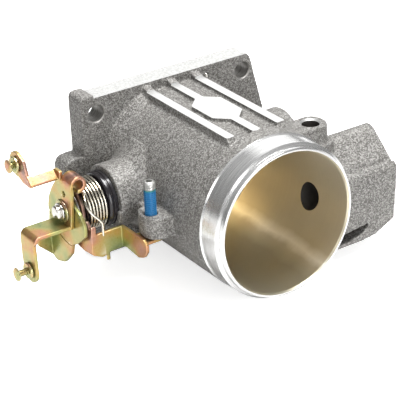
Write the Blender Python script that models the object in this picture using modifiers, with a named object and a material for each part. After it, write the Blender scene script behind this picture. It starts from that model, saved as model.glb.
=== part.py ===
"""A 70 mm aluminium throttle body with its butterfly shaft, return spring and cable levers.

World frame: the origin is on the bore's axis at the manifold face, +Y runs towards the manifold,
+X towards the sensor side and +Z up. The inlet opens towards -Y. Lengths are in metres.
"""
import math

import bmesh
import bpy
from mathutils import Matrix, Vector

MM = 0.001
CLEARANCE = 0.3 * MM          # gap between pieces that seat on or pass through each other
OVERLAP = 1.0 * MM            # how far joined solids run into each other, and cutters past a face

# ---- bore and inlet
BORE_RADIUS = 35.0 * MM
INLET_FLARE = 1.0 * MM        # how much wider the inlet is than the bore
BODY_LENGTH = 110.0 * MM
THROAT_SETBACK = 47.0 * MM    # manifold face to the end of the inlet taper
BODY_WALL = 5.2 * MM
COLLAR_LENGTH = 14.5 * MM
COLLAR_DROP = 0.6 * MM        # machined collar below the cast body
LIP_WALL = 2.0 * MM

# ---- manifold flange
FLANGE_THICKNESS = 12.0 * MM
BOLT_SPACING_X = 88.0 * MM
BOLT_SPACING_Z = 70.0 * MM
BOLT_HOLE_RADIUS = 4.4 * MM
FLANGE_EDGE = 8.5 * MM        # bolt centre to the machined top and to the left side
FLANGE_BUMP = 1.8 * MM        # cast corner above the machined strip
FLANGE_FLARE = 13.0 * MM      # right side's middle, past the bolt centres
LUG_RADIUS = 6.0 * MM
LUG_REACH = 63.8 * MM
LUG_HEIGHT = 8.0 * MM

# ---- ribs and blank badge on top
RIB_PITCH = 14.5 * MM
RIB_WIDTH = 4.7 * MM
RIB_HEIGHT = 2.0 * MM
RIB_FRONT = 88.0 * MM         # manifold face to the ribs' front ends
BADGE_HALF_WIDTH = 8.8 * MM
BADGE_LENGTH = 30.0 * MM
BADGE_SETBACK = 53.0 * MM
BADGE_CHAMFER = 6.0 * MM

# ---- throttle shaft, bearings and bosses
SHAFT_SETBACK = 31.5 * MM
SHAFT_RADIUS = 4.8 * MM
SHAFT_FLAT = 3.6 * MM         # centre to each flat at the lever end
BEARING_WALL = 2.6 * MM
BEARING_LENGTH = 4.2 * MM
SEAL_LENGTH = 3.0 * MM
LEFT_BOSS_RADIUS = 16.5 * MM
LEFT_BOSS_REACH = 53.5 * MM
RIGHT_BOSS_RADIUS = 17.0 * MM
RIGHT_BOSS_REACH = 55.0 * MM
WEB_REACH = 49.0 * MM
SENSOR_RECESS_RADIUS = 10.0 * MM
SENSOR_RECESS_DEPTH = 7.0 * MM
SENSOR_SCREW_SPACING = 27.0 * MM
SENSOR_SCREW_RADIUS = 1.9 * MM
SENSOR_SCREW_TURN = 20.0      # degrees, the pair's line above the level

# ---- butterfly plate
PLATE_THICKNESS = 2.4 * MM
PLATE_SCREW_SPACING = 34.0 * MM
PLATE_SCREW_RADIUS = 2.0 * MM
PLATE_SCREW_HEAD_RADIUS = 3.7 * MM
PLATE_SCREW_HEAD_HEIGHT = 1.6 * MM

# ---- return spring and its seat
CUP_RADIUS = 14.0 * MM
CUP_LENGTH = 5.0 * MM
SLEEVE_LENGTH = 10.8 * MM
WIRE_RADIUS = 0.6 * MM
SPRING_RADIUS = 12.6 * MM
SPRING_TURNS = 6
SPRING_PITCH = 1.7 * MM

# ---- levers
SHEET = 1.8 * MM
SPACER_LENGTH = 1.2 * MM
LEVER_BORE_RADIUS = SHAFT_RADIUS + CLEARANCE
LOWER_ARM_LENGTH = 21.0 * MM
LOWER_ARM_DROP = 7.3 * MM
LOWER_ARM_WIDTH = 14.0 * MM
LOWER_LEG_LENGTH = 19.0 * MM
UPPER_ARM_LENGTH = 16.6 * MM
UPPER_ARM_WIDTH = 5.4 * MM
CURL_RADIUS = 4.4 * MM
CURL_HEIGHT = 16.0 * MM
CURL_FRONT = 9.8 * MM         # ahead of the shaft
CURL_BACK = 0.6 * MM
STUD_HOLE_RADIUS = 2.2 * MM
STUD_HEAD_RADIUS = 3.5 * MM

# ---- stop screw
SCREW_SIDE = 47.0 * MM
SCREW_SETBACK = 63.4 * MM
SCREW_RADIUS = 3.0 * MM
SCREW_LENGTH = 29.0 * MM
SCREW_SOCKET_RADIUS = 1.7 * MM
SCREW_LUG_RADIUS = 8.7 * MM
SCREW_LUG_TOP = 2.0 * MM
SCREW_LUG_HEIGHT = 11.0 * MM
SCREW_STANDOFF = 1.0 * MM     # how far the screw's tip stands out under the lug

# ---- idle valve casting
IDLE_REACH = 83.0 * MM
IDLE_FRONT = 90.0 * MM
IDLE_BACK = 48.0 * MM
IDLE_CREASE = -1.8 * MM
IDLE_RIDGE = 16.5 * MM        # where the roof's two slopes meet, before the ridge is rounded
IDLE_ROOF_RUN = 20.5 * MM
IDLE_BOTTOM = -38.0 * MM
IDLE_PAD_DEPTH = 1.2 * MM     # the valve's milled pad, below the cast front edge
IDLE_PAD_EDGE = 2.0 * MM
PORT_RADIUS = 7.0 * MM
PORT_SETBACK = 81.0 * MM
PORT_DROP = 7.7 * MM
RETURN_PORT_RADIUS = 5.5 * MM
RETURN_PORT_SETBACK = 60.0 * MM
RETURN_PORT_SIDE = 46.0 * MM
RETURN_PORT_DROP = 18.0 * MM
HOSE_BOSS_RADIUS = 7.8 * MM
HOSE_HOLE_RADIUS = 4.5 * MM
HOSE_BOSS_SIDE = 45.5 * MM
HOSE_BOSS_SETBACK = 68.0 * MM
HOSE_BOSS_TOP = 24.5 * MM
BALL_PLUG_RADIUS = 1.4 * MM
BALL_PLUG_SIDE = 21.9 * MM
BALL_PLUG_HEIGHT = 38.0 * MM

# ---- worked out from the sizes above
INLET_RADIUS = BORE_RADIUS + INLET_FLARE
BODY_RADIUS = BORE_RADIUS + BODY_WALL
COLLAR_RADIUS = BODY_RADIUS - COLLAR_DROP
FLANGE_TOP = BOLT_SPACING_Z / 2 + FLANGE_EDGE
FLANGE_LEFT = BOLT_SPACING_X / 2 + FLANGE_EDGE
FLANGE_RIGHT = BOLT_SPACING_X / 2 + FLANGE_FLARE
RIB_TOP = BODY_RADIUS
POCKET_RADIUS = SHAFT_RADIUS + BEARING_WALL + 2 * CLEARANCE
CUP_FACE = LEFT_BOSS_REACH + CLEARANCE
SLEEVE_RADIUS = SPRING_RADIUS - WIRE_RADIUS - CLEARANCE
SLEEVE_END = CUP_FACE + CUP_LENGTH + SLEEVE_LENGTH
STOP_LEVER_X = SLEEVE_END + CLEARANCE
CAM_X = STOP_LEVER_X + SHEET + SPACER_LENGTH + 2 * CLEARANCE
THROTTLE_LEVER_X = CAM_X + SHEET + CLEARANCE
WASHER_X = THROTTLE_LEVER_X + SHEET + CLEARANCE
WASHER_THICKNESS = 0.7 * MM
STAKE_X = WASHER_X + WASHER_THICKNESS + CLEARANCE
STAKE_LENGTH = 0.9 * MM
SHAFT_LEFT_END = STAKE_X + STAKE_LENGTH + 2.2 * MM
STUB_RADIUS = 3.4 * MM
STUB_FLAT = 2.7 * MM
SENSOR_FLOOR = RIGHT_BOSS_REACH - SENSOR_RECESS_DEPTH
RIGHT_POCKET_FLOOR = SENSOR_FLOOR - BEARING_LENGTH - SEAL_LENGTH - 4 * CLEARANCE
LEFT_POCKET_FLOOR = LEFT_BOSS_REACH - BEARING_LENGTH - SEAL_LENGTH - 4 * CLEARANCE

PARTS = "throttle_body"
CUTTERS = "cutters"
ARC_STEPS = 4


def start_scene():
    """Empties the scene and makes the collections for the parts and for the cutters."""
    for old in list(bpy.data.objects):
        bpy.data.objects.remove(old, do_unlink=True)
    for name in (PARTS, CUTTERS):
        bpy.context.scene.collection.children.link(bpy.data.collections.new(name))


def material(name, colour, metallic, roughness):
    """A Principled material."""
    made = bpy.data.materials.new(name)
    made.use_nodes = True
    shader = made.node_tree.nodes["Principled BSDF"]
    shader.inputs["Base Color"].default_value = (*colour, 1.0)
    shader.inputs["Metallic"].default_value = metallic
    shader.inputs["Roughness"].default_value = roughness
    return made


def place(obj, matrix, is_cutter=False):
    """Links an object into its collection at the given world matrix."""
    bpy.data.collections[CUTTERS if is_cutter else PARTS].objects.link(obj)
    obj.matrix_world = matrix
    if is_cutter:
        obj.hide_render = True
        obj.display_type = "WIRE"
    return obj


def facing(axis, origin=(0.0, 0.0, 0.0)):
    """A matrix whose local +Z points along the named world axis.

    For an X axis the local X and Y are the world's Y and Z; for -Y they are X and Z.
    """
    turns = {
        "+Z": Matrix.Identity(3),
        "-Y": Matrix(((1, 0, 0), (0, 0, -1), (0, 1, 0))),
        "+X": Matrix(((0, 0, 1), (1, 0, 0), (0, 1, 0))),
        "-X": Matrix(((0, 0, -1), (-1, 0, 0), (0, 1, 0))),
    }
    return Matrix.Translation(Vector(origin)) @ turns[axis].to_4x4()


def turned(name, profile, matrix, steps=20, is_cutter=False, closed=False):
    """A turned shape: the profile of (radius, height) runs down its outer side.

    closed joins the last point to the first, for a ring that misses the axis.
    """
    mesh = bpy.data.meshes.new(name)
    points = [(radius, 0.0, height) for radius, height in profile]
    edges = [(index, index + 1) for index in range(len(points) - 1)]
    if closed:
        edges.append((len(points) - 1, 0))
    mesh.from_pydata(points, edges, [])
    obj = place(bpy.data.objects.new(name, mesh), matrix, is_cutter)
    screw = obj.modifiers.new("Turn", "SCREW")
    screw.axis = "Z"
    screw.angle = math.tau
    screw.steps = steps
    screw.render_steps = steps
    screw.use_merge_vertices = True
    screw.merge_threshold = 0.00001
    screw.use_smooth_shade = True
    return obj


def rod(name, radius, low, high, matrix, steps=20, is_cutter=False):
    """A round bar between two heights along the matrix's local Z."""
    profile = [(0.0, high), (radius, high), (radius, low), (0.0, low)]
    return turned(name, profile, matrix, steps, is_cutter)


def ring(name, inner, outer, low, high, matrix, steps=20):
    """A plain ring between two heights along the matrix's local Z."""
    profile = [(outer, high), (outer, low), (inner, low), (inner, high)]
    return turned(name, profile, matrix, steps, closed=True)


def box(name, low, high, is_cutter=True):
    """A box between two corners."""
    mesh = bpy.data.meshes.new(name)
    work = bmesh.new()
    bmesh.ops.create_cube(work, size=1.0)
    size = [top - bottom for bottom, top in zip(low, high)]
    centre = [(top + bottom) / 2 for bottom, top in zip(low, high)]
    bmesh.ops.scale(work, vec=size, verts=work.verts)
    bmesh.ops.translate(work, vec=centre, verts=work.verts)
    work.to_mesh(mesh)
    work.free()
    return place(bpy.data.objects.new(name, mesh), Matrix.Identity(4), is_cutter)


def rounded(corners):
    """A closed outline from (x, y, corner radius) points, with each corner an arc.

    A radius is limited by the sides that meet there.
    """
    outline = []
    count = len(corners)
    for index, (x, y, radius) in enumerate(corners):
        here = Vector((x, y))
        before = Vector(corners[index - 1][:2]) - here
        after = Vector(corners[(index + 1) % count][:2]) - here
        half = before.angle(after) / 2
        if radius <= 0.0 or half > math.radians(89.0):
            outline.append(here)
            continue
        run = min(radius / math.tan(half), 0.49 * before.length, 0.49 * after.length)
        start = here + before.normalized() * run
        end = here + after.normalized() * run
        for step in range(ARC_STEPS + 1):
            t = step / ARC_STEPS
            blend = (1 - t) ** 2 * start + 2 * t * (1 - t) * here + t * t * end
            outline.append(blend)
    return outline


def arc(centre, radius, first, last, steps):
    """Points on an arc, angles in degrees."""
    angles = [math.radians(first + (last - first) * step / steps) for step in range(steps + 1)]
    return [Vector((centre[0] + radius * math.cos(a), centre[1] + radius * math.sin(a))) for a in angles]


def sheet(name, outline, thickness, matrix, is_cutter=False, holes=()):
    """A flat plate: the outline in the matrix's local XY, its thickness centred on local Z.

    holes are further closed outlines, cut right through.
    """
    curve = bpy.data.curves.new(name, "CURVE")
    curve.dimensions = "2D"
    curve.fill_mode = "BOTH"
    curve.extrude = thickness / 2
    for loop in (outline, *holes):
        spline = curve.splines.new("POLY")
        spline.points.add(len(loop) - 1)
        for point, place_2d in zip(spline.points, loop):
            point.co = (place_2d[0], place_2d[1], 0.0, 1.0)
        spline.use_cyclic_u = True
    obj = place(bpy.data.objects.new(name, curve), matrix, is_cutter)
    return as_mesh(obj, is_cutter)


def as_mesh(curve_object, is_cutter=False):
    """Turns a curve object into a mesh object of the same name and place, with welded caps."""
    name = curve_object.name
    curve_object.name = name + "_curve"
    bpy.context.view_layer.update()
    seen = curve_object.evaluated_get(bpy.context.evaluated_depsgraph_get())
    mesh = bpy.data.meshes.new_from_object(seen)
    work = bmesh.new()
    work.from_mesh(mesh)
    bmesh.ops.remove_doubles(work, verts=work.verts, dist=0.00001)
    work.to_mesh(mesh)
    work.free()
    made = place(bpy.data.objects.new(name, mesh), curve_object.matrix_world.copy(), is_cutter)
    bpy.data.objects.remove(curve_object, do_unlink=True)
    return made


def boolean(target, operation, *tools):
    """Adds one Boolean modifier for each tool."""
    for tool in tools:
        made = target.modifiers.new(tool.name, "BOOLEAN")
        made.operation = operation
        made.object = tool
        made.solver = "EXACT"
    return target


def join(target, *tools):
    """Unites the tools with the target."""
    return boolean(target, "UNION", *tools)


def cut(target, *tools):
    """Takes the tools away from the target."""
    return boolean(target, "DIFFERENCE", *tools)


def finish(obj, look, parent=None, smooth=True):
    """Gives a part its material and parent, and smooth shading with sharp edges."""
    if smooth:
        obj.data.shade_smooth()
        if obj.data.polygons:
            obj.data.set_sharp_from_angle(angle=math.radians(35.0))
    obj.data.materials.append(look)
    if parent is not None:
        world = obj.matrix_world.copy()
        obj.parent = parent
        obj.matrix_parent_inverse = Matrix.Identity(4)
        obj.matrix_basis = parent.matrix_world.inverted() @ world
    return obj


def hole_outline(centre, radius, steps=20):
    """A round hole's outline."""
    return arc(centre, radius, 0.0, 360.0 - 360.0 / steps, steps - 1)


SHAFT_LINE = (0.0, -SHAFT_SETBACK, 0.0)


def lever_frame(depth):
    """The matrix for a plate square to the shaft: local X is world Y from the shaft, local Y is Z."""
    return facing("+X", (-depth, -SHAFT_SETBACK, 0.0))


# ---------------------------------------------------------------- housing

def body_blank():
    """The turned outside of the body, from the inlet lip to inside the flange."""
    lip_radius = INLET_RADIUS + LIP_WALL
    front = BODY_LENGTH
    collar_back = front - COLLAR_LENGTH
    flare = FLANGE_THICKNESS
    profile = [
        (0.0, front),
        (lip_radius - 0.7 * MM, front),
        (lip_radius, front - 0.7 * MM),
        (lip_radius, front - 2.6 * MM),
        (COLLAR_RADIUS, front - 3.6 * MM),
        (COLLAR_RADIUS, collar_back),
        (BODY_RADIUS, collar_back - 0.8 * MM),
        (BODY_RADIUS, flare + 9.0 * MM),
        (BODY_RADIUS + 0.7 * MM, flare + 5.0 * MM),
        (BODY_RADIUS + 1.7 * MM, flare + 2.2 * MM),
        (BODY_RADIUS + 2.9 * MM, flare - OVERLAP),
        (0.0, flare - OVERLAP),
    ]
    return turned("throttle_housing", profile, facing("-Y"), steps=48)


def flange_blank():
    """The manifold flange's cast outline, with its top left corner standing above the machined strip."""
    top = FLANGE_TOP
    left = -FLANGE_LEFT
    right = FLANGE_RIGHT
    bolt = BOLT_SPACING_X / 2
    bump = top + FLANGE_BUMP
    outline = rounded([
        (left, bump, 6.0 * MM),
        (left + 6.5 * MM, bump, 2.5 * MM),
        (left + 9.0 * MM, top, 1.5 * MM),
        (bolt + 4.6 * MM, top, 6.0 * MM),
        (right, 10.0 * MM, 8.0 * MM),
        (right, -10.0 * MM, 8.0 * MM),
        (bolt + 4.6 * MM, -top, 6.0 * MM),
        (left, -top, 8.0 * MM),
    ])
    matrix = facing("-Y", (0.0, -FLANGE_THICKNESS / 2, 0.0))
    plate = sheet("flange_blank", outline, FLANGE_THICKNESS, matrix, is_cutter=True)
    edge = plate.modifiers.new("Cast edge", "BEVEL")
    edge.width = 1.2 * MM
    edge.segments = 1
    edge.limit_method = "ANGLE"
    edge.angle_limit = math.radians(60.0)
    return plate


def flange_lug():
    """The rounded lug that reaches out from the flange's left side."""
    outline = rounded([
        (-FLANGE_LEFT + 4.0 * MM, LUG_HEIGHT + LUG_RADIUS, 0.0),
        (-FLANGE_LEFT + 4.0 * MM, LUG_HEIGHT - LUG_RADIUS, 0.0),
        (-LUG_REACH, LUG_HEIGHT - LUG_RADIUS, LUG_RADIUS),
        (-LUG_REACH, LUG_HEIGHT + LUG_RADIUS, LUG_RADIUS),
    ])
    depth = FLANGE_THICKNESS - 1.2 * MM
    matrix = facing("-Y", (0.0, -FLANGE_THICKNESS / 2, 0.0))
    return sheet("flange_lug", outline, depth, matrix, is_cutter=True)


def rib(number, side):
    """One machined rib on top of the body, with a slanted front end and a ramp up to the flange."""
    top = RIB_TOP
    root = BODY_RADIUS - 5.0 * MM
    outline = [
        (-RIB_FRONT, root),
        (-RIB_FRONT + 3.0 * MM, top),
        (-FLANGE_THICKNESS - 4.0 * MM, top),
        (-FLANGE_THICKNESS + OVERLAP, top + 2.2 * MM),
        (-FLANGE_THICKNESS + OVERLAP, root),
    ]
    return sheet(f"rib_{number}", outline, RIB_WIDTH, facing("+X", (side, 0.0, 0.0)), is_cutter=True)


def badge():
    """The blank raised plate across the middle rib."""
    half = BADGE_LENGTH / 2
    wide = BADGE_HALF_WIDTH
    neck = wide - BADGE_CHAMFER
    outline = rounded([
        (-neck, half, 0.5 * MM), (-wide, half - BADGE_CHAMFER, 0.8 * MM),
        (-wide, BADGE_CHAMFER - half, 0.8 * MM), (-neck, -half, 0.5 * MM),
        (neck, -half, 0.5 * MM), (wide, BADGE_CHAMFER - half, 0.8 * MM),
        (wide, half - BADGE_CHAMFER, 0.8 * MM), (neck, half, 0.5 * MM),
    ])
    depth = 4.0 * MM
    matrix = facing("+Z", (0.0, -BADGE_SETBACK, RIB_TOP - depth / 2))
    return sheet("badge", outline, depth, matrix, is_cutter=True)


def stop_screw_lug():
    """The lug on the left of the body that the stop screw goes through."""
    inner = -BODY_RADIUS + 6.0 * MM
    outer = -SCREW_SIDE - SCREW_LUG_RADIUS * 0.6
    outline = rounded([
        (inner, -SCREW_SETBACK - SCREW_LUG_RADIUS, 0.0),
        (inner, -SCREW_SETBACK + SCREW_LUG_RADIUS, 0.0),
        (outer, -SCREW_SETBACK + SCREW_LUG_RADIUS, SCREW_LUG_RADIUS),
        (outer, -SCREW_SETBACK - SCREW_LUG_RADIUS, SCREW_LUG_RADIUS),
    ])
    matrix = facing("+Z", (0.0, 0.0, SCREW_LUG_TOP - SCREW_LUG_HEIGHT / 2))
    return sheet("stop_screw_lug", outline, SCREW_LUG_HEIGHT, matrix, is_cutter=True)


def left_boss():
    """The round boss on the lever side with its cast flare into the body."""
    profile = [
        (0.0, LEFT_BOSS_REACH),
        (LEFT_BOSS_RADIUS, LEFT_BOSS_REACH),
        (LEFT_BOSS_RADIUS, BODY_RADIUS + 3.6 * MM),
        (LEFT_BOSS_RADIUS + 1.2 * MM, BODY_RADIUS + 0.6 * MM),
        (LEFT_BOSS_RADIUS + 4.4 * MM, BODY_RADIUS - 3.2 * MM),
        (LEFT_BOSS_RADIUS + 8.0 * MM, BODY_RADIUS - 7.2 * MM),
        (0.0, BODY_RADIUS - 11.2 * MM),
    ]
    return turned("left_boss", profile, facing("-X", SHAFT_LINE), 28, True)


def boss_web():
    """The cast ledge between the left shaft boss and the stop screw lug."""
    front = -SCREW_SETBACK + 2.0 * MM
    back = -SHAFT_SETBACK - 6.0 * MM
    outer = -WEB_REACH
    outline = rounded([
        (-BODY_RADIUS + 8.0 * MM, back, 0.0),
        (-BODY_RADIUS + 8.0 * MM, front, 0.0),
        (outer, front, 4.0 * MM),
        (outer, back, 0.0),
    ])
    depth = 9.0 * MM
    return sheet("boss_web", outline, depth, facing("+Z", (0.0, 0.0, -0.5 * MM)), is_cutter=True)


def cup_guard():
    """The cast crescent that wraps the lower front of the spring cup."""
    inner = CUP_RADIUS + CLEARANCE
    outer = LEFT_BOSS_RADIUS + 0.4 * MM
    outline = arc((0.0, 0.0), outer, 188.0, 272.0, 10) + arc((0.0, 0.0), inner, 272.0, 188.0, 10)
    low = LEFT_BOSS_REACH - OVERLAP
    high = LEFT_BOSS_REACH + 1.5 * MM
    return sheet("cup_guard", outline, high - low, lever_frame((low + high) / 2), is_cutter=True)


def idle_casting():
    """The idle valve casting on the right: a block with a ridged roof, chamfered corners and a pocket."""
    inner = BODY_RADIUS - 8.0 * MM
    depth = IDLE_FRONT - IDLE_BACK
    middle = -(IDLE_FRONT + IDLE_BACK) / 2
    outline = rounded([
        (inner, IDLE_RIDGE, 0.0),
        (inner, IDLE_BOTTOM + 6.0 * MM, 0.0),
        (inner + 14.0 * MM, IDLE_BOTTOM - 0.4 * MM, 5.0 * MM),
        (IDLE_REACH - 20.0 * MM, IDLE_BOTTOM, 3.0 * MM),
        (IDLE_REACH - 12.8 * MM, IDLE_BOTTOM + 0.9 * MM, 2.0 * MM),
        (IDLE_REACH - 0.9 * MM, IDLE_BOTTOM + 6.6 * MM, 1.0 * MM),
        (IDLE_REACH, IDLE_CREASE, 1.0 * MM),
        (IDLE_REACH, IDLE_RIDGE, 1.0 * MM),
    ])
    block = sheet("idle_casting", outline, depth, facing("-Y", (0.0, middle, 0.0)), is_cutter=True)
    ridge = -IDLE_FRONT + IDLE_ROOF_RUN
    slope = (IDLE_RIDGE - IDLE_CREASE) / IDLE_ROOF_RUN
    margin = 6.0 * MM
    above = rounded([
        (-IDLE_FRONT - margin, IDLE_CREASE - margin * slope, 0.0),
        (ridge, IDLE_RIDGE, 7.5 * MM),
        (-IDLE_BACK + margin, IDLE_RIDGE - (-IDLE_BACK + margin - ridge) * slope, 0.0),
        (-IDLE_BACK + margin, IDLE_RIDGE + 20.0 * MM, 0.0),
        (-IDLE_FRONT - margin, IDLE_RIDGE + 20.0 * MM, 0.0),
    ])
    span = IDLE_REACH
    roof = sheet("idle_roof_cut", above, span, facing("+X", (inner + span / 2 - OVERLAP, 0.0, 0.0)), True)
    pocket_outline = rounded([
        (BODY_RADIUS - 1.0 * MM, IDLE_BOTTOM + 5.6 * MM, 0.0),
        (BODY_RADIUS + 9.8 * MM, IDLE_BOTTOM + 7.0 * MM, 0.0),
        (BODY_RADIUS + 26.8 * MM, IDLE_BOTTOM + 9.0 * MM, 1.2 * MM),
        (BODY_RADIUS + 21.5 * MM, IDLE_BOTTOM + 4.4 * MM, 3.0 * MM),
        (BODY_RADIUS + 13.5 * MM, IDLE_BOTTOM + 1.8 * MM, 3.0 * MM),
        (BODY_RADIUS - 1.0 * MM, IDLE_BOTTOM + 1.6 * MM, 0.0),
    ])
    pocket_depth = 16.0 * MM
    pocket_middle = -IDLE_FRONT + pocket_depth / 2 - OVERLAP
    pocket = sheet("idle_pocket", pocket_outline, pocket_depth, facing("-Y", (0.0, pocket_middle, 0.0)), True)
    pad_low = (IDLE_REACH - IDLE_PAD_DEPTH, -IDLE_FRONT + IDLE_PAD_EDGE, IDLE_BOTTOM - OVERLAP)
    pad_high = (IDLE_REACH + OVERLAP, -IDLE_BACK + OVERLAP, IDLE_RIDGE + 5.0 * MM)
    return cut(block, roof, pocket, box("idle_pad", pad_low, pad_high))


def idle_tunnel():
    """The passage wall that runs from the idle valve casting back to the flange."""
    half = RETURN_PORT_RADIUS + 2.7 * MM
    outline = rounded([
        (BODY_RADIUS - 10.0 * MM, -RETURN_PORT_DROP + half, 0.0),
        (BODY_RADIUS - 10.0 * MM, -RETURN_PORT_DROP - half, 0.0),
        (RETURN_PORT_SIDE + half, -RETURN_PORT_DROP - half, 5.0 * MM),
        (RETURN_PORT_SIDE + half, -RETURN_PORT_DROP + half, 5.0 * MM),
    ])
    depth = IDLE_BACK - FLANGE_THICKNESS + 2 * OVERLAP
    middle = -(IDLE_BACK + FLANGE_THICKNESS) / 2
    return sheet("idle_tunnel", outline, depth, facing("-Y", (0.0, middle, 0.0)), is_cutter=True)


def hose_boss():
    """The upright boss with the round hole, behind the inlet on the right."""
    inner = BODY_RADIUS - 12.0 * MM
    outline = rounded([
        (inner, -HOSE_BOSS_SETBACK - HOSE_BOSS_RADIUS, 0.0),
        (HOSE_BOSS_SIDE + HOSE_BOSS_RADIUS, -HOSE_BOSS_SETBACK - HOSE_BOSS_RADIUS, HOSE_BOSS_RADIUS),
        (HOSE_BOSS_SIDE + HOSE_BOSS_RADIUS, -HOSE_BOSS_SETBACK + HOSE_BOSS_RADIUS, HOSE_BOSS_RADIUS),
        (inner, -HOSE_BOSS_SETBACK + HOSE_BOSS_RADIUS, 0.0),
    ])
    low = IDLE_CREASE - 6.0 * MM
    depth = HOSE_BOSS_TOP - low
    return sheet("hose_boss", outline, depth, facing("+Z", (0.0, 0.0, low + depth / 2)), is_cutter=True)


def top_flat():
    """The cutter that flattens the body between the ribs."""
    half = RIB_PITCH + RIB_WIDTH / 2
    floor = RIB_TOP - RIB_HEIGHT
    low = (-half, -RIB_FRONT + 2.0 * MM, floor)
    high = (half, -FLANGE_THICKNESS, FLANGE_TOP)
    return box("top_flat", low, high)


def bore_cutter():
    """The inlet taper, the throat step and the throttle bore."""
    profile = [
        (0.0, BODY_LENGTH + OVERLAP),
        (INLET_RADIUS, BODY_LENGTH + OVERLAP),
        (INLET_RADIUS, BODY_LENGTH - 6.0 * MM),
        (BORE_RADIUS + 0.5 * MM, THROAT_SETBACK + 0.6 * MM),
        (BORE_RADIUS, THROAT_SETBACK),
        (BORE_RADIUS, -OVERLAP),
        (0.0, -OVERLAP),
    ]
    return turned("bore_cutter", profile, facing("-Y"), steps=48, is_cutter=True)


def bolt_cutter(number, side, height):
    """One flange bolt hole with a small chamfer at each face."""
    chamfer = 0.5 * MM
    front = FLANGE_THICKNESS
    wide = BOLT_HOLE_RADIUS + chamfer + OVERLAP
    profile = [
        (0.0, front + OVERLAP), (wide, front + OVERLAP), (BOLT_HOLE_RADIUS, front - chamfer),
        (BOLT_HOLE_RADIUS, chamfer), (wide, -OVERLAP), (0.0, -OVERLAP),
    ]
    return turned(f"bolt_cutter_{number}", profile, facing("-Y", (side, 0.0, height)), 16, True)


def shaft_cutters():
    """The shaft's clearance hole with a pocket in each boss and the sensor recess, and the sensor holes."""
    hole = SHAFT_RADIUS + CLEARANCE
    right = RIGHT_BOSS_REACH + OVERLAP
    left = -LEFT_BOSS_REACH - OVERLAP
    profile = [
        (0.0, right), (SENSOR_RECESS_RADIUS, right), (SENSOR_RECESS_RADIUS, SENSOR_FLOOR),
        (POCKET_RADIUS, SENSOR_FLOOR), (POCKET_RADIUS, RIGHT_POCKET_FLOOR), (hole, RIGHT_POCKET_FLOOR),
        (hole, -LEFT_POCKET_FLOOR), (POCKET_RADIUS, -LEFT_POCKET_FLOOR), (POCKET_RADIUS, left), (0.0, left),
    ]
    tools = [turned("shaft_bore", profile, facing("+X", SHAFT_LINE), 24, True)]
    for number, sign in enumerate((-1.0, 1.0), start=1):
        turn = math.radians(SENSOR_SCREW_TURN)
        out = sign * SENSOR_SCREW_SPACING / 2
        matrix = facing("+X", (0.0, -SHAFT_SETBACK + out * math.cos(turn), out * math.sin(turn)))
        tools.append(rod(f"sensor_screw_{number}", SENSOR_SCREW_RADIUS, RIGHT_BOSS_REACH - 9.0 * MM,
                         RIGHT_BOSS_REACH + OVERLAP, matrix, 10, True))
    return tools


def idle_cutters():
    """The idle ports: one from the inlet, one back to the manifold face, and two valve screw holes."""
    reach = IDLE_REACH + OVERLAP
    inlet = rod("inlet_port", PORT_RADIUS, BORE_RADIUS - 8.0 * MM, reach,
                facing("+X", (0.0, -PORT_SETBACK, -PORT_DROP)), 20, True)
    back = rod("return_port", RETURN_PORT_RADIUS, RETURN_PORT_SIDE, reach,
               facing("+X", (0.0, -RETURN_PORT_SETBACK, -RETURN_PORT_DROP)), 16, True)
    along = rod("return_passage", RETURN_PORT_RADIUS, -OVERLAP, RETURN_PORT_SETBACK + RETURN_PORT_RADIUS,
                facing("-Y", (RETURN_PORT_SIDE, 0.0, -RETURN_PORT_DROP)), 16, True)
    valve_screws = []
    for number, (setback, height) in enumerate(((80.0, -24.0), (62.0, 3.0)), start=1):
        matrix = facing("+X", (0.0, -setback * MM, height * MM))
        floor = IDLE_REACH - 14.0 * MM
        valve_screws.append(rod(f"valve_screw_{number}", 2.5 * MM, floor, reach, matrix, 10, True))
    return [inlet, back, along, *valve_screws]


def make_housing(look):
    """The cast and machined housing."""
    housing = body_blank()
    cut(housing, top_flat())
    join(housing, flange_blank(), flange_lug())
    for number, side in enumerate((-RIB_PITCH, 0.0, RIB_PITCH), start=1):
        join(housing, rib(number, side))
    join(housing, badge())
    along = facing("+X", SHAFT_LINE)
    right_boss = rod("right_boss", RIGHT_BOSS_RADIUS, BORE_RADIUS - 6.0 * MM, RIGHT_BOSS_REACH, along, 28, True)
    join(housing, left_boss(), right_boss, cup_guard(), boss_web(), stop_screw_lug())
    join(housing, idle_casting(), idle_tunnel(), hose_boss())
    cut(housing, bore_cutter())
    for number, (side, height) in enumerate(((-1, 1), (1, 1), (1, -1), (-1, -1)), start=1):
        cut(housing, bolt_cutter(number, side * BOLT_SPACING_X / 2, height * BOLT_SPACING_Z / 2))
    cut(housing, *shaft_cutters(), *idle_cutters())
    hose = facing("+Z", (HOSE_BOSS_SIDE, -HOSE_BOSS_SETBACK, 0.0))
    hose_floor = HOSE_BOSS_TOP - 16.0 * MM
    cut(housing, rod("hose_hole", HOSE_HOLE_RADIUS, hose_floor, HOSE_BOSS_TOP + OVERLAP, hose, 20, True))
    screw = facing("+Z", (-SCREW_SIDE, -SCREW_SETBACK, 0.0))
    low = SCREW_LUG_TOP - SCREW_LUG_HEIGHT - OVERLAP
    high = SCREW_LUG_TOP + 3.0 * MM
    cut(housing, rod("stop_screw_hole", SCREW_RADIUS + CLEARANCE, low, high, screw, 16, True))
    plug = facing("-Y", (BALL_PLUG_SIDE, 0.0, BALL_PLUG_HEIGHT))
    cut(housing, rod("plug_hole", BALL_PLUG_RADIUS + CLEARANCE, FLANGE_THICKNESS - 4.0 * MM,
                     FLANGE_THICKNESS + OVERLAP, plug, 12, True))
    return finish(housing, look)


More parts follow.
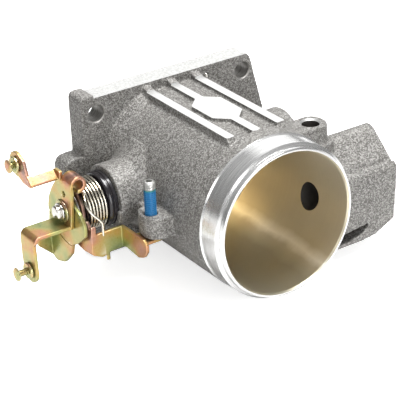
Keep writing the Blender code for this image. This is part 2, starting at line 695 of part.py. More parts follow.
def make_ball_plug(look):
    """The steel ball that closes the drilled passage in the flange."""
    mesh = bpy.data.meshes.new("passage_ball_plug")
    work = bmesh.new()
    bmesh.ops.create_uvsphere(work, u_segments=10, v_segments=6, radius=BALL_PLUG_RADIUS)
    work.to_mesh(mesh)
    work.free()
    centre = (BALL_PLUG_SIDE, -FLANGE_THICKNESS + BALL_PLUG_RADIUS * 0.6, BALL_PLUG_HEIGHT)
    return finish(place(bpy.data.objects.new("passage_ball_plug", mesh), Matrix.Translation(centre)), look)


def make_bearings(steel, rubber):
    """A bearing shell and a lip seal in each boss pocket."""
    along = facing("+X", SHAFT_LINE)
    inner = SHAFT_RADIUS + CLEARANCE
    outer = POCKET_RADIUS - CLEARANCE
    for side, floor, sign in (("left", LEFT_POCKET_FLOOR, -1.0), ("right", RIGHT_POCKET_FLOOR, 1.0)):
        bearing = sorted((sign * (floor + CLEARANCE), sign * (floor + CLEARANCE + BEARING_LENGTH)))
        finish(ring(f"{side}_shaft_bearing", inner, outer, *bearing, along), steel)
        start = floor + BEARING_LENGTH + 2 * CLEARANCE
        seal = sorted((sign * start, sign * (start + SEAL_LENGTH)))
        finish(ring(f"{side}_shaft_seal", inner, outer, *seal, along), rubber)


# ---------------------------------------------------------------- shaft and plate

def make_shaft(look, parent):
    """The shaft: a plate slot, flats and a threaded stub at the lever end, a tang at the other."""
    along = facing("+X", SHAFT_LINE)
    tang_end = RIGHT_BOSS_REACH - 1.0 * MM
    groove = SENSOR_FLOOR + 1.4 * MM
    groove_radius = SHAFT_RADIUS - 0.9 * MM
    shoulder = THROTTLE_LEVER_X + SHEET
    profile = [
        (0.0, tang_end), (SHAFT_RADIUS - 0.5 * MM, tang_end), (SHAFT_RADIUS, tang_end - 0.5 * MM),
        (SHAFT_RADIUS, groove + 1.4 * MM), (groove_radius, groove + 1.4 * MM),
        (groove_radius, groove), (SHAFT_RADIUS, groove),
        (SHAFT_RADIUS, -shoulder), (STUB_RADIUS, -shoulder),
        (STUB_RADIUS, -STAKE_X), (STUB_RADIUS + 1.0 * MM, -STAKE_X),
        (STUB_RADIUS + 0.9 * MM, -STAKE_X - STAKE_LENGTH), (STUB_RADIUS, -STAKE_X - STAKE_LENGTH),
        (STUB_RADIUS, -SHAFT_LEFT_END + 0.4 * MM), (STUB_RADIUS - 0.4 * MM, -SHAFT_LEFT_END),
        (0.0, -SHAFT_LEFT_END),
    ]
    shaft = turned("throttle_shaft", profile, along, 24)
    slot_half = PLATE_THICKNESS / 2 + CLEARANCE
    reach = BORE_RADIUS + CLEARANCE
    past = SHAFT_RADIUS + OVERLAP
    back = -SHAFT_SETBACK
    cut(shaft, box("plate_slot", (-reach, back - slot_half, -past), (reach, back + slot_half, past)))
    for number, sign in enumerate((-1.0, 1.0), start=1):
        low, high = sorted((sign * SHAFT_FLAT, sign * past))
        start = -shoulder - OVERLAP
        end = -STOP_LEVER_X + 2.0 * MM
        cut(shaft, box(f"lever_flat_{number}", (start, back - past, low), (end, back + past, high)))
        stub_low, stub_high = sorted((sign * STUB_FLAT, sign * past))
        stub = ((-SHAFT_LEFT_END - OVERLAP, back + stub_low, -past),
                (-STAKE_X - STAKE_LENGTH - CLEARANCE, back + stub_high, past))
        cut(shaft, box(f"stub_flat_{number}", *stub))
        tang_low, tang_high = sorted((sign * SHAFT_FLAT * 0.7, sign * past))
        tang = ((groove + 2.4 * MM, back + tang_low, -past), (tang_end + OVERLAP, back + tang_high, past))
        cut(shaft, box(f"tang_flat_{number}", *tang))
        side = sign * PLATE_SCREW_SPACING / 2
        seat = SHAFT_RADIUS - 0.8 * MM
        wide = PLATE_SCREW_HEAD_RADIUS + CLEARANCE
        hole = PLATE_SCREW_RADIUS + CLEARANCE
        stepped = [(0.0, past), (wide, past), (wide, seat), (hole, seat), (hole, -past), (0.0, -past)]
        cut(shaft, turned(f"shaft_screw_hole_{number}", stepped, facing("-Y", (side, back, 0.0)), 16, True))
    return finish(shaft, look, parent)


def make_plate(look, parent):
    """The brass butterfly plate, square to the bore when closed."""
    steps = 48
    outline = hole_outline((0.0, 0.0), BORE_RADIUS - CLEARANCE, steps)
    holes = [hole_outline((sign * PLATE_SCREW_SPACING / 2, 0.0), PLATE_SCREW_RADIUS + CLEARANCE, 12)
             for sign in (-1.0, 1.0)]
    return finish(sheet("throttle_plate", outline, PLATE_THICKNESS, facing("-Y", SHAFT_LINE), holes=holes),
                  look, parent)


def make_plate_screws(look, parent):
    """The two screws through the shaft and the plate."""
    seat = SHAFT_RADIUS - 0.8 * MM + CLEARANCE
    top = seat + PLATE_SCREW_HEAD_HEIGHT
    tail = -SHAFT_RADIUS + 0.4 * MM
    for number, sign in enumerate((-1.0, 1.0), start=1):
        profile = [
            (0.0, top), (PLATE_SCREW_HEAD_RADIUS * 0.7, top), (PLATE_SCREW_HEAD_RADIUS, top - 0.7 * MM),
            (PLATE_SCREW_HEAD_RADIUS, seat), (PLATE_SCREW_RADIUS, seat),
            (PLATE_SCREW_RADIUS, tail), (0.0, tail),
        ]
        matrix = facing("-Y", (sign * PLATE_SCREW_SPACING / 2, -SHAFT_SETBACK, 0.0))
        screw = turned(f"plate_screw_{number}", profile, matrix, 14)
        half = 0.4 * MM
        side = sign * PLATE_SCREW_SPACING / 2
        front = -SHAFT_SETBACK - top
        reach = PLATE_SCREW_HEAD_RADIUS + OVERLAP
        slot = box(f"driver_slot_{number}", (side - reach, front - OVERLAP, -half),
                   (side + reach, front + 0.7 * MM, half))
        finish(cut(screw, slot), look, parent)


# ---------------------------------------------------------------- levers

def lever_hole():
    """The hole with two flats that seats a lever on the shaft."""
    radius = LEVER_BORE_RADIUS
    half = SHAFT_FLAT + CLEARANCE
    angle = math.degrees(math.asin(half / radius))
    return arc((0.0, 0.0), radius, -angle, angle, 6) + arc((0.0, 0.0), radius, 180.0 - angle, 180.0 + angle, 6)


def make_stop_lever(look, parent):
    """The inner lever: a web bent towards the body, a side plate and the tab under the stop screw."""
    middle = STOP_LEVER_X + SHEET / 2
    web = -15.4 * MM
    web_top = -9.6 * MM
    web_bottom = -21.0 * MM
    outline = arc((0.0, 0.0), 9.6 * MM, 160.0, -60.0, 9) + rounded([
        (1.0 * MM, -19.4 * MM, 2.0 * MM),
        (-8.0 * MM, -20.6 * MM, 2.0 * MM),
        (web - SHEET / 2, web_bottom + 1.2 * MM, 2.0 * MM),
        (web - SHEET / 2, web_top, 1.0 * MM),
        (-11.5 * MM, -2.0 * MM, 2.0 * MM),
    ])
    lever = sheet("stop_lever", outline, SHEET, lever_frame(middle), holes=[lever_hole()])
    side_x = SCREW_SIDE + 7.6 * MM
    tab_y = -SCREW_SETBACK + SHAFT_SETBACK
    web_outline = rounded([
        (-middle - SHEET / 2, web_top, 0.6 * MM), (-side_x, web_top + 0.4 * MM, 0.6 * MM),
        (-side_x, web_bottom, 1.0 * MM), (-side_x - 6.0 * MM, web_bottom + 0.2 * MM, 3.0 * MM),
        (-side_x - 11.0 * MM, web_bottom - 1.8 * MM, 2.5 * MM), (-middle - SHEET / 2, web_bottom + 1.0 * MM, 2.0 * MM),
    ])
    web_plate = sheet("stop_web", web_outline, SHEET,
                      facing("-Y", (0.0, web - SHAFT_SETBACK, 0.0)), is_cutter=True)
    tab_top = SCREW_LUG_TOP - SCREW_LUG_HEIGHT - SCREW_STANDOFF - CLEARANCE
    side_outline = rounded([
        (web + SHEET / 2, web_top + 0.4 * MM, 0.6 * MM), (tab_y - 4.0 * MM, tab_top + 1.6 * MM, 1.0 * MM),
        (tab_y - 6.6 * MM, tab_top - 0.6 * MM, 1.2 * MM), (tab_y - 6.8 * MM, tab_top - 4.0 * MM, 3.0 * MM),
        (tab_y - 4.0 * MM, tab_top - 8.0 * MM, 3.0 * MM), (tab_y + 1.0 * MM, tab_top - 10.1 * MM, 3.0 * MM),
        (web - 4.5 * MM, web_bottom + 1.6 * MM, 3.0 * MM), (web + SHEET / 2, web_bottom, 0.6 * MM),
    ])
    side_plate = sheet("stop_side", side_outline, SHEET, lever_frame(side_x - SHEET / 2), is_cutter=True)
    tab_outline = rounded([
        (-side_x, -SCREW_SETBACK - 4.5 * MM, 0.5 * MM), (-SCREW_SIDE + 3.6 * MM, -SCREW_SETBACK - 4.5 * MM, 2.0 * MM),
        (-SCREW_SIDE + 3.6 * MM, -SCREW_SETBACK + 5.0 * MM, 2.0 * MM), (-side_x, -SCREW_SETBACK + 8.0 * MM, 0.5 * MM),
    ])
    tab = sheet("stop_tab", tab_outline, SHEET, facing("+Z", (0.0, 0.0, tab_top - SHEET / 2)), is_cutter=True)
    front = web - SHAFT_SETBACK
    catch = box("spring_catch", (-middle - SHEET / 2 + 0.2 * MM, front - SHEET / 2 + 0.1 * MM, web_top - 3.0 * MM),
                (-middle + 2.0 * MM, front + SHEET / 4, web_top + 4.6 * MM))
    foot = box("web_foot", (-63.4 * MM, front - SHEET / 3, web_bottom - 4.3 * MM),
               (-61.6 * MM, front + SHEET / 3, web_bottom + 3.0 * MM))
    return finish(join(lever, web_plate, side_plate, tab, catch, foot), look, parent)


def make_cable_cam(look, parent):
    """The middle plate: a front lobe, a long lower lobe and its turned-out lip."""
    middle = CAM_X + SHEET / 2
    outline = rounded([
        (-7.0 * MM, 4.5 * MM, 3.0 * MM), (-12.5 * MM, 2.0 * MM, 4.0 * MM), (-16.6 * MM, -3.2 * MM, 5.0 * MM),
        (-16.2 * MM, -9.0 * MM, 3.0 * MM), (-9.0 * MM, -15.2 * MM, 2.0 * MM), (-3.2 * MM, -18.6 * MM, 1.5 * MM),
        (-1.6 * MM, -24.0 * MM, 3.0 * MM), (5.8 * MM, -31.8 * MM, 6.0 * MM), (16.0 * MM, -35.0 * MM, 6.0 * MM),
        (22.0 * MM, -28.0 * MM, 5.0 * MM), (18.5 * MM, -8.0 * MM, 4.0 * MM), (11.0 * MM, 6.0 * MM, 4.0 * MM),
        (2.0 * MM, 10.0 * MM, 5.0 * MM),
    ])
    cam = sheet("cable_cam", outline, SHEET, lever_frame(middle), holes=[lever_hole()])
    lip_outline = rounded([
        (-CAM_X - SHEET + OVERLAP / 2, -18.0 * MM, 0.0), (-CAM_X - 10.0 * MM, -19.5 * MM, 1.5 * MM),
        (-CAM_X - 9.5 * MM, -25.5 * MM, 1.5 * MM), (-CAM_X - SHEET + OVERLAP / 2, -33.0 * MM, 0.0),
    ])
    matrix = facing("-Y", (0.0, 18.6 * MM - SHAFT_SETBACK, 0.0))
    lip = sheet("cam_lip", lip_outline, SHEET, matrix, is_cutter=True)
    return finish(join(cam, lip), look, parent)


def band(points, thickness):
    """The outline of a bent strip that follows a path of points, thickness centred on it."""
    left = []
    right = []
    for index, here in enumerate(points):
        before = points[max(index - 1, 0)]
        after = points[min(index + 1, len(points) - 1)]
        along = (after - before).normalized()
        across = Vector((-along.y, along.x)) * thickness / 2
        left.append(here + across)
        right.append(here - across)
    return left + right[::-1]


def lower_arm():
    """The arm below the shaft: a level strip that bends down into a leg with a round end."""
    root = -(THROTTLE_LEVER_X + SHEET * 0.3)
    end = -(THROTTLE_LEVER_X + LOWER_ARM_LENGTH)
    bend = 2.6 * MM
    level = -LOWER_ARM_DROP
    path = [Vector((root, level)), Vector((end + bend, level))]
    path += arc((end + bend, level - bend), bend, 90.0, 180.0, 5)[1:]
    path.append(Vector((end, level - LOWER_LEG_LENGTH - 8.0 * MM)))
    shift = 0.6 * MM
    arm = sheet("lower_arm", band(path, SHEET), LOWER_ARM_WIDTH,
                facing("-Y", (0.0, -SHAFT_SETBACK + shift, 0.0)), is_cutter=True)
    half = LOWER_ARM_WIDTH / 2
    stud = -LOWER_ARM_DROP - LOWER_LEG_LENGTH
    end_radius = 6.4 * MM
    outline = [Vector((shift - half - OVERLAP, 0.0)), Vector((shift - half - OVERLAP, level - 0.9 * MM))]
    outline += [Vector((shift - half + 1.4 * MM, level - 4.0 * MM))]
    outline += arc((shift, stud), end_radius, 180.0, 360.0, 8)
    outline += [Vector((shift + half + OVERLAP, level - 8.0 * MM)), Vector((shift + half + OVERLAP, 0.0))]
    span = LOWER_ARM_LENGTH + 10.0 * MM
    keep = sheet("lower_arm_outline", outline, span, lever_frame(THROTTLE_LEVER_X + LOWER_ARM_LENGTH / 2), True)
    return boolean(arm, "INTERSECT", keep), (SHEET / 2 - end, shift, stud)


def upper_arm():
    """The arm above the shaft: a slanted strip and the ear that it carries."""
    low_edge = Vector((1.6 * MM, 16.6 * MM))
    across = Vector((0.74, 0.67)) * UPPER_ARM_WIDTH
    inward = Vector((0.67, -0.74)) * SHEET
    outline = [low_edge, low_edge + across, low_edge + across + inward, low_edge + inward]
    start = THROTTLE_LEVER_X + SHEET * 0.3
    end = THROTTLE_LEVER_X + UPPER_ARM_LENGTH
    tuck = 0.15 * MM
    strip = sheet("upper_arm", outline, end - tuck - start, lever_frame((start + end - tuck) / 2), is_cutter=True)
    stud = (15.6 * MM, 23.4 * MM)
    radius = 6.5 * MM
    ear_outline = [low_edge + inward * 1.1, Vector((10.0 * MM, 15.4 * MM))]
    ear_outline += arc(stud, radius, -100.0, 105.0, 9)
    ear_outline += [Vector((8.5 * MM, 27.2 * MM)), low_edge + across * 1.1 + inward * 0.1,
                    low_edge - across * 0.04 + inward * 0.1]
    ear = sheet("upper_ear", ear_outline, SHEET, lever_frame(end - SHEET / 2), is_cutter=True)
    return join(strip, ear), (end, *stud)


def curled_tab():
    """The tab that rolls over from the lever's top edge; the spring's end passes under it."""
    tuck = 0.1 * MM
    centre = (-THROTTLE_LEVER_X - SHEET + tuck + CURL_RADIUS, CURL_HEIGHT)
    outer = arc(centre, CURL_RADIUS, 195.0, -60.0, 12)
    inner = arc(centre, CURL_RADIUS - SHEET + 2 * tuck, -60.0, 195.0, 12)
    middle = -SHAFT_SETBACK - (CURL_FRONT + CURL_BACK) / 2
    matrix = facing("-Y", (0.0, middle, 0.0))
    return sheet("curled_tab", outer + inner, CURL_FRONT - CURL_BACK, matrix, is_cutter=True)


def make_throttle_lever(look, parent):
    """The outer lever with its two bent arms. Returns the places of the stud holes."""
    middle = THROTTLE_LEVER_X + SHEET / 2
    outline = rounded([
        (-6.8 * MM, -8.2 * MM, 1.0 * MM), (8.0 * MM, -8.2 * MM, 1.0 * MM), (15.4 * MM, -5.0 * MM, 3.0 * MM),
        (14.0 * MM, 2.0 * MM, 5.0 * MM), (9.8 * MM, 9.0 * MM, 5.0 * MM), (5.6 * MM, 14.0 * MM, 1.0 * MM),
        (6.0 * MM, 20.6 * MM, 0.6 * MM), (0.4 * MM, 20.6 * MM, 1.0 * MM), (0.0, CURL_HEIGHT, 0.4 * MM),
        (-CURL_FRONT + 0.2 * MM, CURL_HEIGHT, 0.0), (-CURL_FRONT + 0.2 * MM, 11.0 * MM, 2.0 * MM),
        (-8.4 * MM, 2.0 * MM, 3.0 * MM),
    ])
    hole = hole_outline((-2.4 * MM, 10.0 * MM), 1.5 * MM, 8)
    lever = sheet("throttle_lever", outline, SHEET, lever_frame(middle), holes=[lever_hole(), hole])
    lower, lower_stud = lower_arm()
    upper, upper_stud = upper_arm()
    join(lever, lower, upper, curled_tab())
    for name, (depth, along, height) in (("lower_stud_hole", lower_stud), ("upper_stud_hole", upper_stud)):
        matrix = facing("+X", (-depth, -SHAFT_SETBACK + along, height))
        cut(lever, rod(name, STUD_HOLE_RADIUS, -4.0 * MM, 4.0 * MM, matrix, 14, True))
    finish(lever, look, parent)
    return lower_stud, upper_stud


def make_stud(name, place_at, neck, look, parent):
    """A riveted cable stud: a tail and a collar on either side of the arm, a neck and a round head.

    place_at is (depth, along, height): the arm's outer face from the bore, and the hole's centre.
    """
    depth, along, height = place_at
    matrix = facing("-X", (0.0, -SHAFT_SETBACK + along, height))
    shank = STUD_HOLE_RADIUS - CLEARANCE
    near = depth - SHEET - CLEARANCE
    face = depth + CLEARANCE
    collar = face + 1.4 * MM
    head = collar + neck
    end = head + 1.3 * MM
    profile = [
        (0.0, end), (STUD_HEAD_RADIUS - 0.5 * MM, end), (STUD_HEAD_RADIUS, end - 0.5 * MM),
        (STUD_HEAD_RADIUS, head), (1.7 * MM, head), (1.7 * MM, collar), (4.2 * MM, collar),
        (4.4 * MM, face), (shank, face), (shank, near), (3.0 * MM, near), (2.4 * MM, near - 1.0 * MM),
        (0.0, near - 1.0 * MM),
    ]
    return finish(turned(name, profile, matrix, 16), look, parent)


def make_lever_hardware(steel, zinc, parent):
    """The spacer between the lever plates and the washer that the shaft's end is staked over."""
    along = facing("-X", SHAFT_LINE)
    bore = SHAFT_RADIUS + CLEARANCE
    start = STOP_LEVER_X + SHEET + CLEARANCE
    finish(ring("inner_lever_spacer", bore, 8.0 * MM, start, start + SPACER_LENGTH, along, 20), steel, parent)
    bore = STUB_RADIUS + CLEARANCE
    outer = 5.9 * MM
    face = WASHER_X + WASHER_THICKNESS
    profile = [
        (outer - 1.0 * MM, face), (outer, WASHER_X + 0.4 * MM), (outer, WASHER_X), (bore, WASHER_X), (bore, face),
    ]
    finish(turned("lever_washer", profile, along, 20, closed=True), zinc, parent)


def make_sensor_end(steel, parent):
    """The thrust washer and the retaining clip in the sensor recess."""
    along = facing("+X", SHAFT_LINE)
    start = SENSOR_FLOOR + CLEARANCE
    washer = ring("shaft_thrust_washer", SHAFT_RADIUS + CLEARANCE, SENSOR_RECESS_RADIUS - 1.5 * MM, start,
                  start + 0.6 * MM, along, 20)
    finish(washer, steel, parent)
    groove_radius = SHAFT_RADIUS - 0.9 * MM + CLEARANCE
    outline = arc((0.0, 0.0), 7.6 * MM, -60.0, 240.0, 14) + arc((0.0, 0.0), groove_radius, 240.0, -60.0, 14)
    middle = SENSOR_FLOOR + 1.4 * MM + 0.7 * MM
    clip = sheet("shaft_retaining_clip", outline, 0.8 * MM, facing("+X", (middle, -SHAFT_SETBACK, 0.0)))
    finish(clip, steel, parent)


# ---------------------------------------------------------------- spring and screw

def make_spring_cup(look):
    """The black cup against the boss and the sleeve inside the spring."""
    bore = SHAFT_RADIUS + CLEARANCE
    rim = CUP_FACE + CUP_LENGTH
    profile = [
        (SLEEVE_RADIUS, SLEEVE_END), (SLEEVE_RADIUS, rim), (CUP_RADIUS - 1.0 * MM, rim),
        (CUP_RADIUS, rim - 1.0 * MM), (CUP_RADIUS, CUP_FACE), (bore, CUP_FACE), (bore, SLEEVE_END),
    ]
    return finish(turned("spring_seat_cup", profile, facing("-X", SHAFT_LINE), 32, closed=True), look)


def spring_path():
    """The wire's centre line as (distance left of the bore, along, height) points from the shaft's line."""
    start = CUP_FACE + CUP_LENGTH + WIRE_RADIUS + CLEARANCE
    first = math.radians(250.0)
    sweep = math.radians(155.0) + math.tau * (SPRING_TURNS - 1)
    points = [(start, SPRING_RADIUS * math.cos(first) - 4.0 * MM, SPRING_RADIUS * math.sin(first) + 1.5 * MM)]
    count = round(sweep / math.tau * 14)
    for step in range(count + 1):
        turn = sweep * step / count
        depth = start + SPRING_PITCH * turn / math.tau
        points.append((depth, SPRING_RADIUS * math.cos(first - turn), SPRING_RADIUS * math.sin(first - turn)))
    end = STOP_LEVER_X
    front = SPRING_RADIUS + 5.0 * MM
    leg = [
        (end - 1.0 * MM, -4.0 * MM, SPRING_RADIUS - 0.6 * MM), (end - 0.3 * MM, -7.5 * MM, 10.4 * MM),
        (end + 1.0 * MM, -11.0 * MM, 8.8 * MM), (end + 1.6 * MM, -13.6 * MM, 6.4 * MM),
        (end + 0.8 * MM, -16.3 * MM, 3.0 * MM), (end - 3.2 * MM, -front, -1.9 * MM),
        (end - 4.2 * MM, -front, -4.2 * MM), (end - 4.2 * MM, -front, -10.2 * MM),
    ]
    return points + leg


def make_spring(look):
    """The close-wound torsion spring with both its ends."""
    points = spring_path()
    curve = bpy.data.curves.new("return_spring", "CURVE")
    curve.dimensions = "3D"
    curve.bevel_depth = WIRE_RADIUS
    curve.bevel_resolution = 2
    curve.use_fill_caps = True
    spline = curve.splines.new("POLY")
    spline.points.add(len(points) - 1)
    for point, (depth, along, height) in zip(spline.points, points):
        point.co = (-depth, along - SHAFT_SETBACK, height, 1.0)
    obj = place(bpy.data.objects.new("return_spring", curve), Matrix.Identity(4))
    return finish(as_mesh(obj), look)


def make_stop_screw(look):
    """The socket set screw that stops the lever at idle."""
    tip = SCREW_LUG_TOP - SCREW_LUG_HEIGHT - SCREW_STANDOFF
    top = tip + SCREW_LENGTH
    profile = [
        (0.0, top), (SCREW_RADIUS - 0.6 * MM, top), (SCREW_RADIUS, top - 0.6 * MM),
        (SCREW_RADIUS, tip + 0.8 * MM), (SCREW_RADIUS - 0.8 * MM, tip), (0.0, tip),
    ]
    matrix = facing("+Z", (-SCREW_SIDE, -SCREW_SETBACK, 0.0))
    screw = turned("idle_stop_screw", profile, matrix, 16)
    hexagon = hole_outline((0.0, 0.0), SCREW_SOCKET_RADIUS, 6)
    socket_place = facing("+Z", (-SCREW_SIDE, -SCREW_SETBACK, top))
    socket = sheet("screw_socket", hexagon, 7.0 * MM, socket_place, is_cutter=True)
    return finish(cut(screw, socket), look)


def main():
    """Builds every part."""
    start_scene()
    cast = material("cast_aluminium", (0.36, 0.35, 0.34), 0.6, 0.55)
    steel = material("bright_steel", (0.62, 0.61, 0.58), 1.0, 0.28)
    zinc = material("yellow_zinc", (0.72, 0.58, 0.26), 0.9, 0.3)
    brass = material("brass", (0.72, 0.55, 0.27), 1.0, 0.3)
    plastic = material("black_plastic", (0.012, 0.012, 0.013), 0.0, 0.25)
    rubber = material("seal_rubber", (0.02, 0.02, 0.02), 0.0, 0.6)
    blued = material("screw_steel", (0.55, 0.56, 0.56), 1.0, 0.3)

    make_housing(cast)
    make_ball_plug(steel)
    make_bearings(steel, rubber)
    make_spring_cup(plastic)
    make_spring(steel)
    make_stop_screw(blued)

    axis = bpy.data.objects.new("throttle_axis", None)
    place(axis, Matrix.Translation(SHAFT_LINE))
    make_shaft(steel, axis)
    make_plate(brass, axis)
    make_plate_screws(steel, axis)
    make_stop_lever(zinc, axis)
    make_cable_cam(zinc, axis)
    lower_stud, upper_stud = make_throttle_lever(zinc, axis)
    make_stud("lower_cable_stud", lower_stud, 5.0 * MM, zinc, axis)
    make_stud("upper_cable_stud", upper_stud, 2.0 * MM, zinc, axis)
    make_lever_hardware(steel, zinc, axis)
    make_sensor_end(steel, axis)


main()
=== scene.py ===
"""A 70 mm aluminium throttle body dressed for its studio picture.

World frame: the origin is on the bore's axis at the manifold face, +Y runs towards the manifold,
+X towards the sensor side and +Z up. Every size below is in millimetres; a piece is turned into
metres when it is handed over to the scene.
"""
from __future__ import annotations

import logging
import math
from dataclasses import dataclass
from enum import Enum
from typing import Callable, Iterable, Sequence

import bmesh
import bpy
from mathutils import Matrix, Vector

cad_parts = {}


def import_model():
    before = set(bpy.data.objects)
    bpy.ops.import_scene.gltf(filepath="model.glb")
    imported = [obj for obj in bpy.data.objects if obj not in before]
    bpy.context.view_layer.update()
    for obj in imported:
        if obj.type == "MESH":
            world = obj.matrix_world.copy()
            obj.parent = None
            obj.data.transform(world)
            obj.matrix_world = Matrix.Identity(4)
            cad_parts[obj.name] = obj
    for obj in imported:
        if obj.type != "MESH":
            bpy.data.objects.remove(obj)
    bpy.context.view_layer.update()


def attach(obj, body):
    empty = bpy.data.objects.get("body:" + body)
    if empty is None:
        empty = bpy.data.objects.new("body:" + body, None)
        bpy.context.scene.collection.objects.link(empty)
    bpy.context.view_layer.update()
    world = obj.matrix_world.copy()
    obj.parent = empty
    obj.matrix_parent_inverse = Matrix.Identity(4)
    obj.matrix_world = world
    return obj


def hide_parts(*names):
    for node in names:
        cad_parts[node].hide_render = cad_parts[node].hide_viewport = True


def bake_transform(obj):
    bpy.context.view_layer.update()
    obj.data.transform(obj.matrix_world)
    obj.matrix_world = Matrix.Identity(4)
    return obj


LOG = logging.getLogger("throttle_body")
MM = 0.001
SHAFT_Y = -31.5
Point2 = tuple[float, float]
Colour = tuple[float, float, float]


class Body(Enum):
    """The two bodies of the frame."""

    HOUSING = "housing"
    THROTTLE = "throttle"


class Axis(Enum):
    """The world direction that a form's local +Z points along."""

    UP = ((1, 0, 0), (0, 1, 0), (0, 0, 1))
    FRONT = ((1, 0, 0), (0, 0, -1), (0, 1, 0))
    RIGHT = ((0, 0, 1), (1, 0, 0), (0, 1, 0))
    LEFT = ((0, 0, -1), (-1, 0, 0), (0, 1, 0))

    def at(self, x: float = 0.0, y: float = 0.0, z: float = 0.0) -> Matrix:
        """The placing matrix with this direction and its origin at the given point."""
        return Matrix.Translation((x, y, z)) @ Matrix(self.value).to_4x4()


class Face(Enum):
    """Which finish a surface of the housing has."""

    CAST = 0
    MACHINED = 1
    BORE = 2
    PASSAGE = 3
    DRILLED = 4
    TURNED = 5
    SKIMMED = 6


# ------------------------------------------------------------------ outlines

def arc(centre: Point2, radius: float, first: float, last: float, steps: int) -> list[Vector]:
    """Points along an arc.

    Args:
        centre: The arc's centre.
        radius: Its radius.
        first: The first angle in degrees.
        last: The last angle in degrees.
        steps: How many steps lie between them.

    Returns:
        The points from the first angle to the last.
    """
    turns = [math.radians(first + (last - first) * step / steps) for step in range(steps + 1)]
    return [Vector((centre[0] + radius * math.cos(t), centre[1] + radius * math.sin(t))) for t in turns]


def circle(centre: Point2, radius: float, steps: int = 48) -> list[Vector]:
    """A round outline."""
    return arc(centre, radius, 0.0, 360.0 - 360.0 / steps, steps - 1)


def rounded(corners: Sequence[tuple[float, float, float]], steps: int = 8) -> list[Vector]:
    """A closed outline whose corners are rounded.

    Args:
        corners: Each corner's x, y and radius.
        steps: How many steps each corner has.

    Returns:
        The outline's points.
    """
    outline: list[Vector] = []
    for index, (x, y, radius) in enumerate(corners):
        here = Vector((x, y))
        before = Vector(corners[index - 1][:2]) - here
        after = Vector(corners[(index + 1) % len(corners)][:2]) - here
        half = before.angle(after) / 2
        if radius <= 0.0 or half > math.radians(89.0):
            outline.append(here)
            continue
        run = min(radius / math.tan(half), 0.49 * before.length, 0.49 * after.length)
        start = here + before.normalized() * run
        end = here + after.normalized() * run
        for step in range(steps + 1):
            t = step / steps
            outline.append((1 - t) ** 2 * start + 2 * t * (1 - t) * here + t * t * end)
    return outline


def band(points: Sequence[Vector], thickness: float) -> list[Vector]:
    """The outline of a bent strip.

    Args:
        points: The strip's centre line.
        thickness: The strip's thickness.

    Returns:
        The closed outline round the strip.
    """
    left: list[Vector] = []
    right: list[Vector] = []
    for index, here in enumerate(points):
        before = points[max(index - 1, 0)]
        after = points[min(index + 1, len(points) - 1)]
        along = (after - before).normalized()
        across = Vector((-along.y, along.x)) * thickness / 2
        left.append(here + across)
        right.append(here - across)
    return left + right[::-1]


def curved(points: Sequence[Vector], steps: int = 6) -> list[Vector]:
    """A smooth line through the given points.

    Args:
        points: The points to pass through.
        steps: How many steps lie between two of them.

    Returns:
        The points of the smooth line.
    """
    ends = [points[0] * 2 - points[1], *points, points[-1] * 2 - points[-2]]
    line: list[Vector] = []
    for index in range(1, len(ends) - 2):
        a, b, c, d = ends[index - 1: index + 3]
        for step in range(steps):
            t = step / steps
            line.append(0.5 * ((2 * b) + (c - a) * t + (2 * a - 5 * b + 4 * c - d) * t * t
                               + (3 * b - a - 3 * c + d) * t ** 3))
    line.append(points[-1].copy())
    return line


# ------------------------------------------------------------------ forms

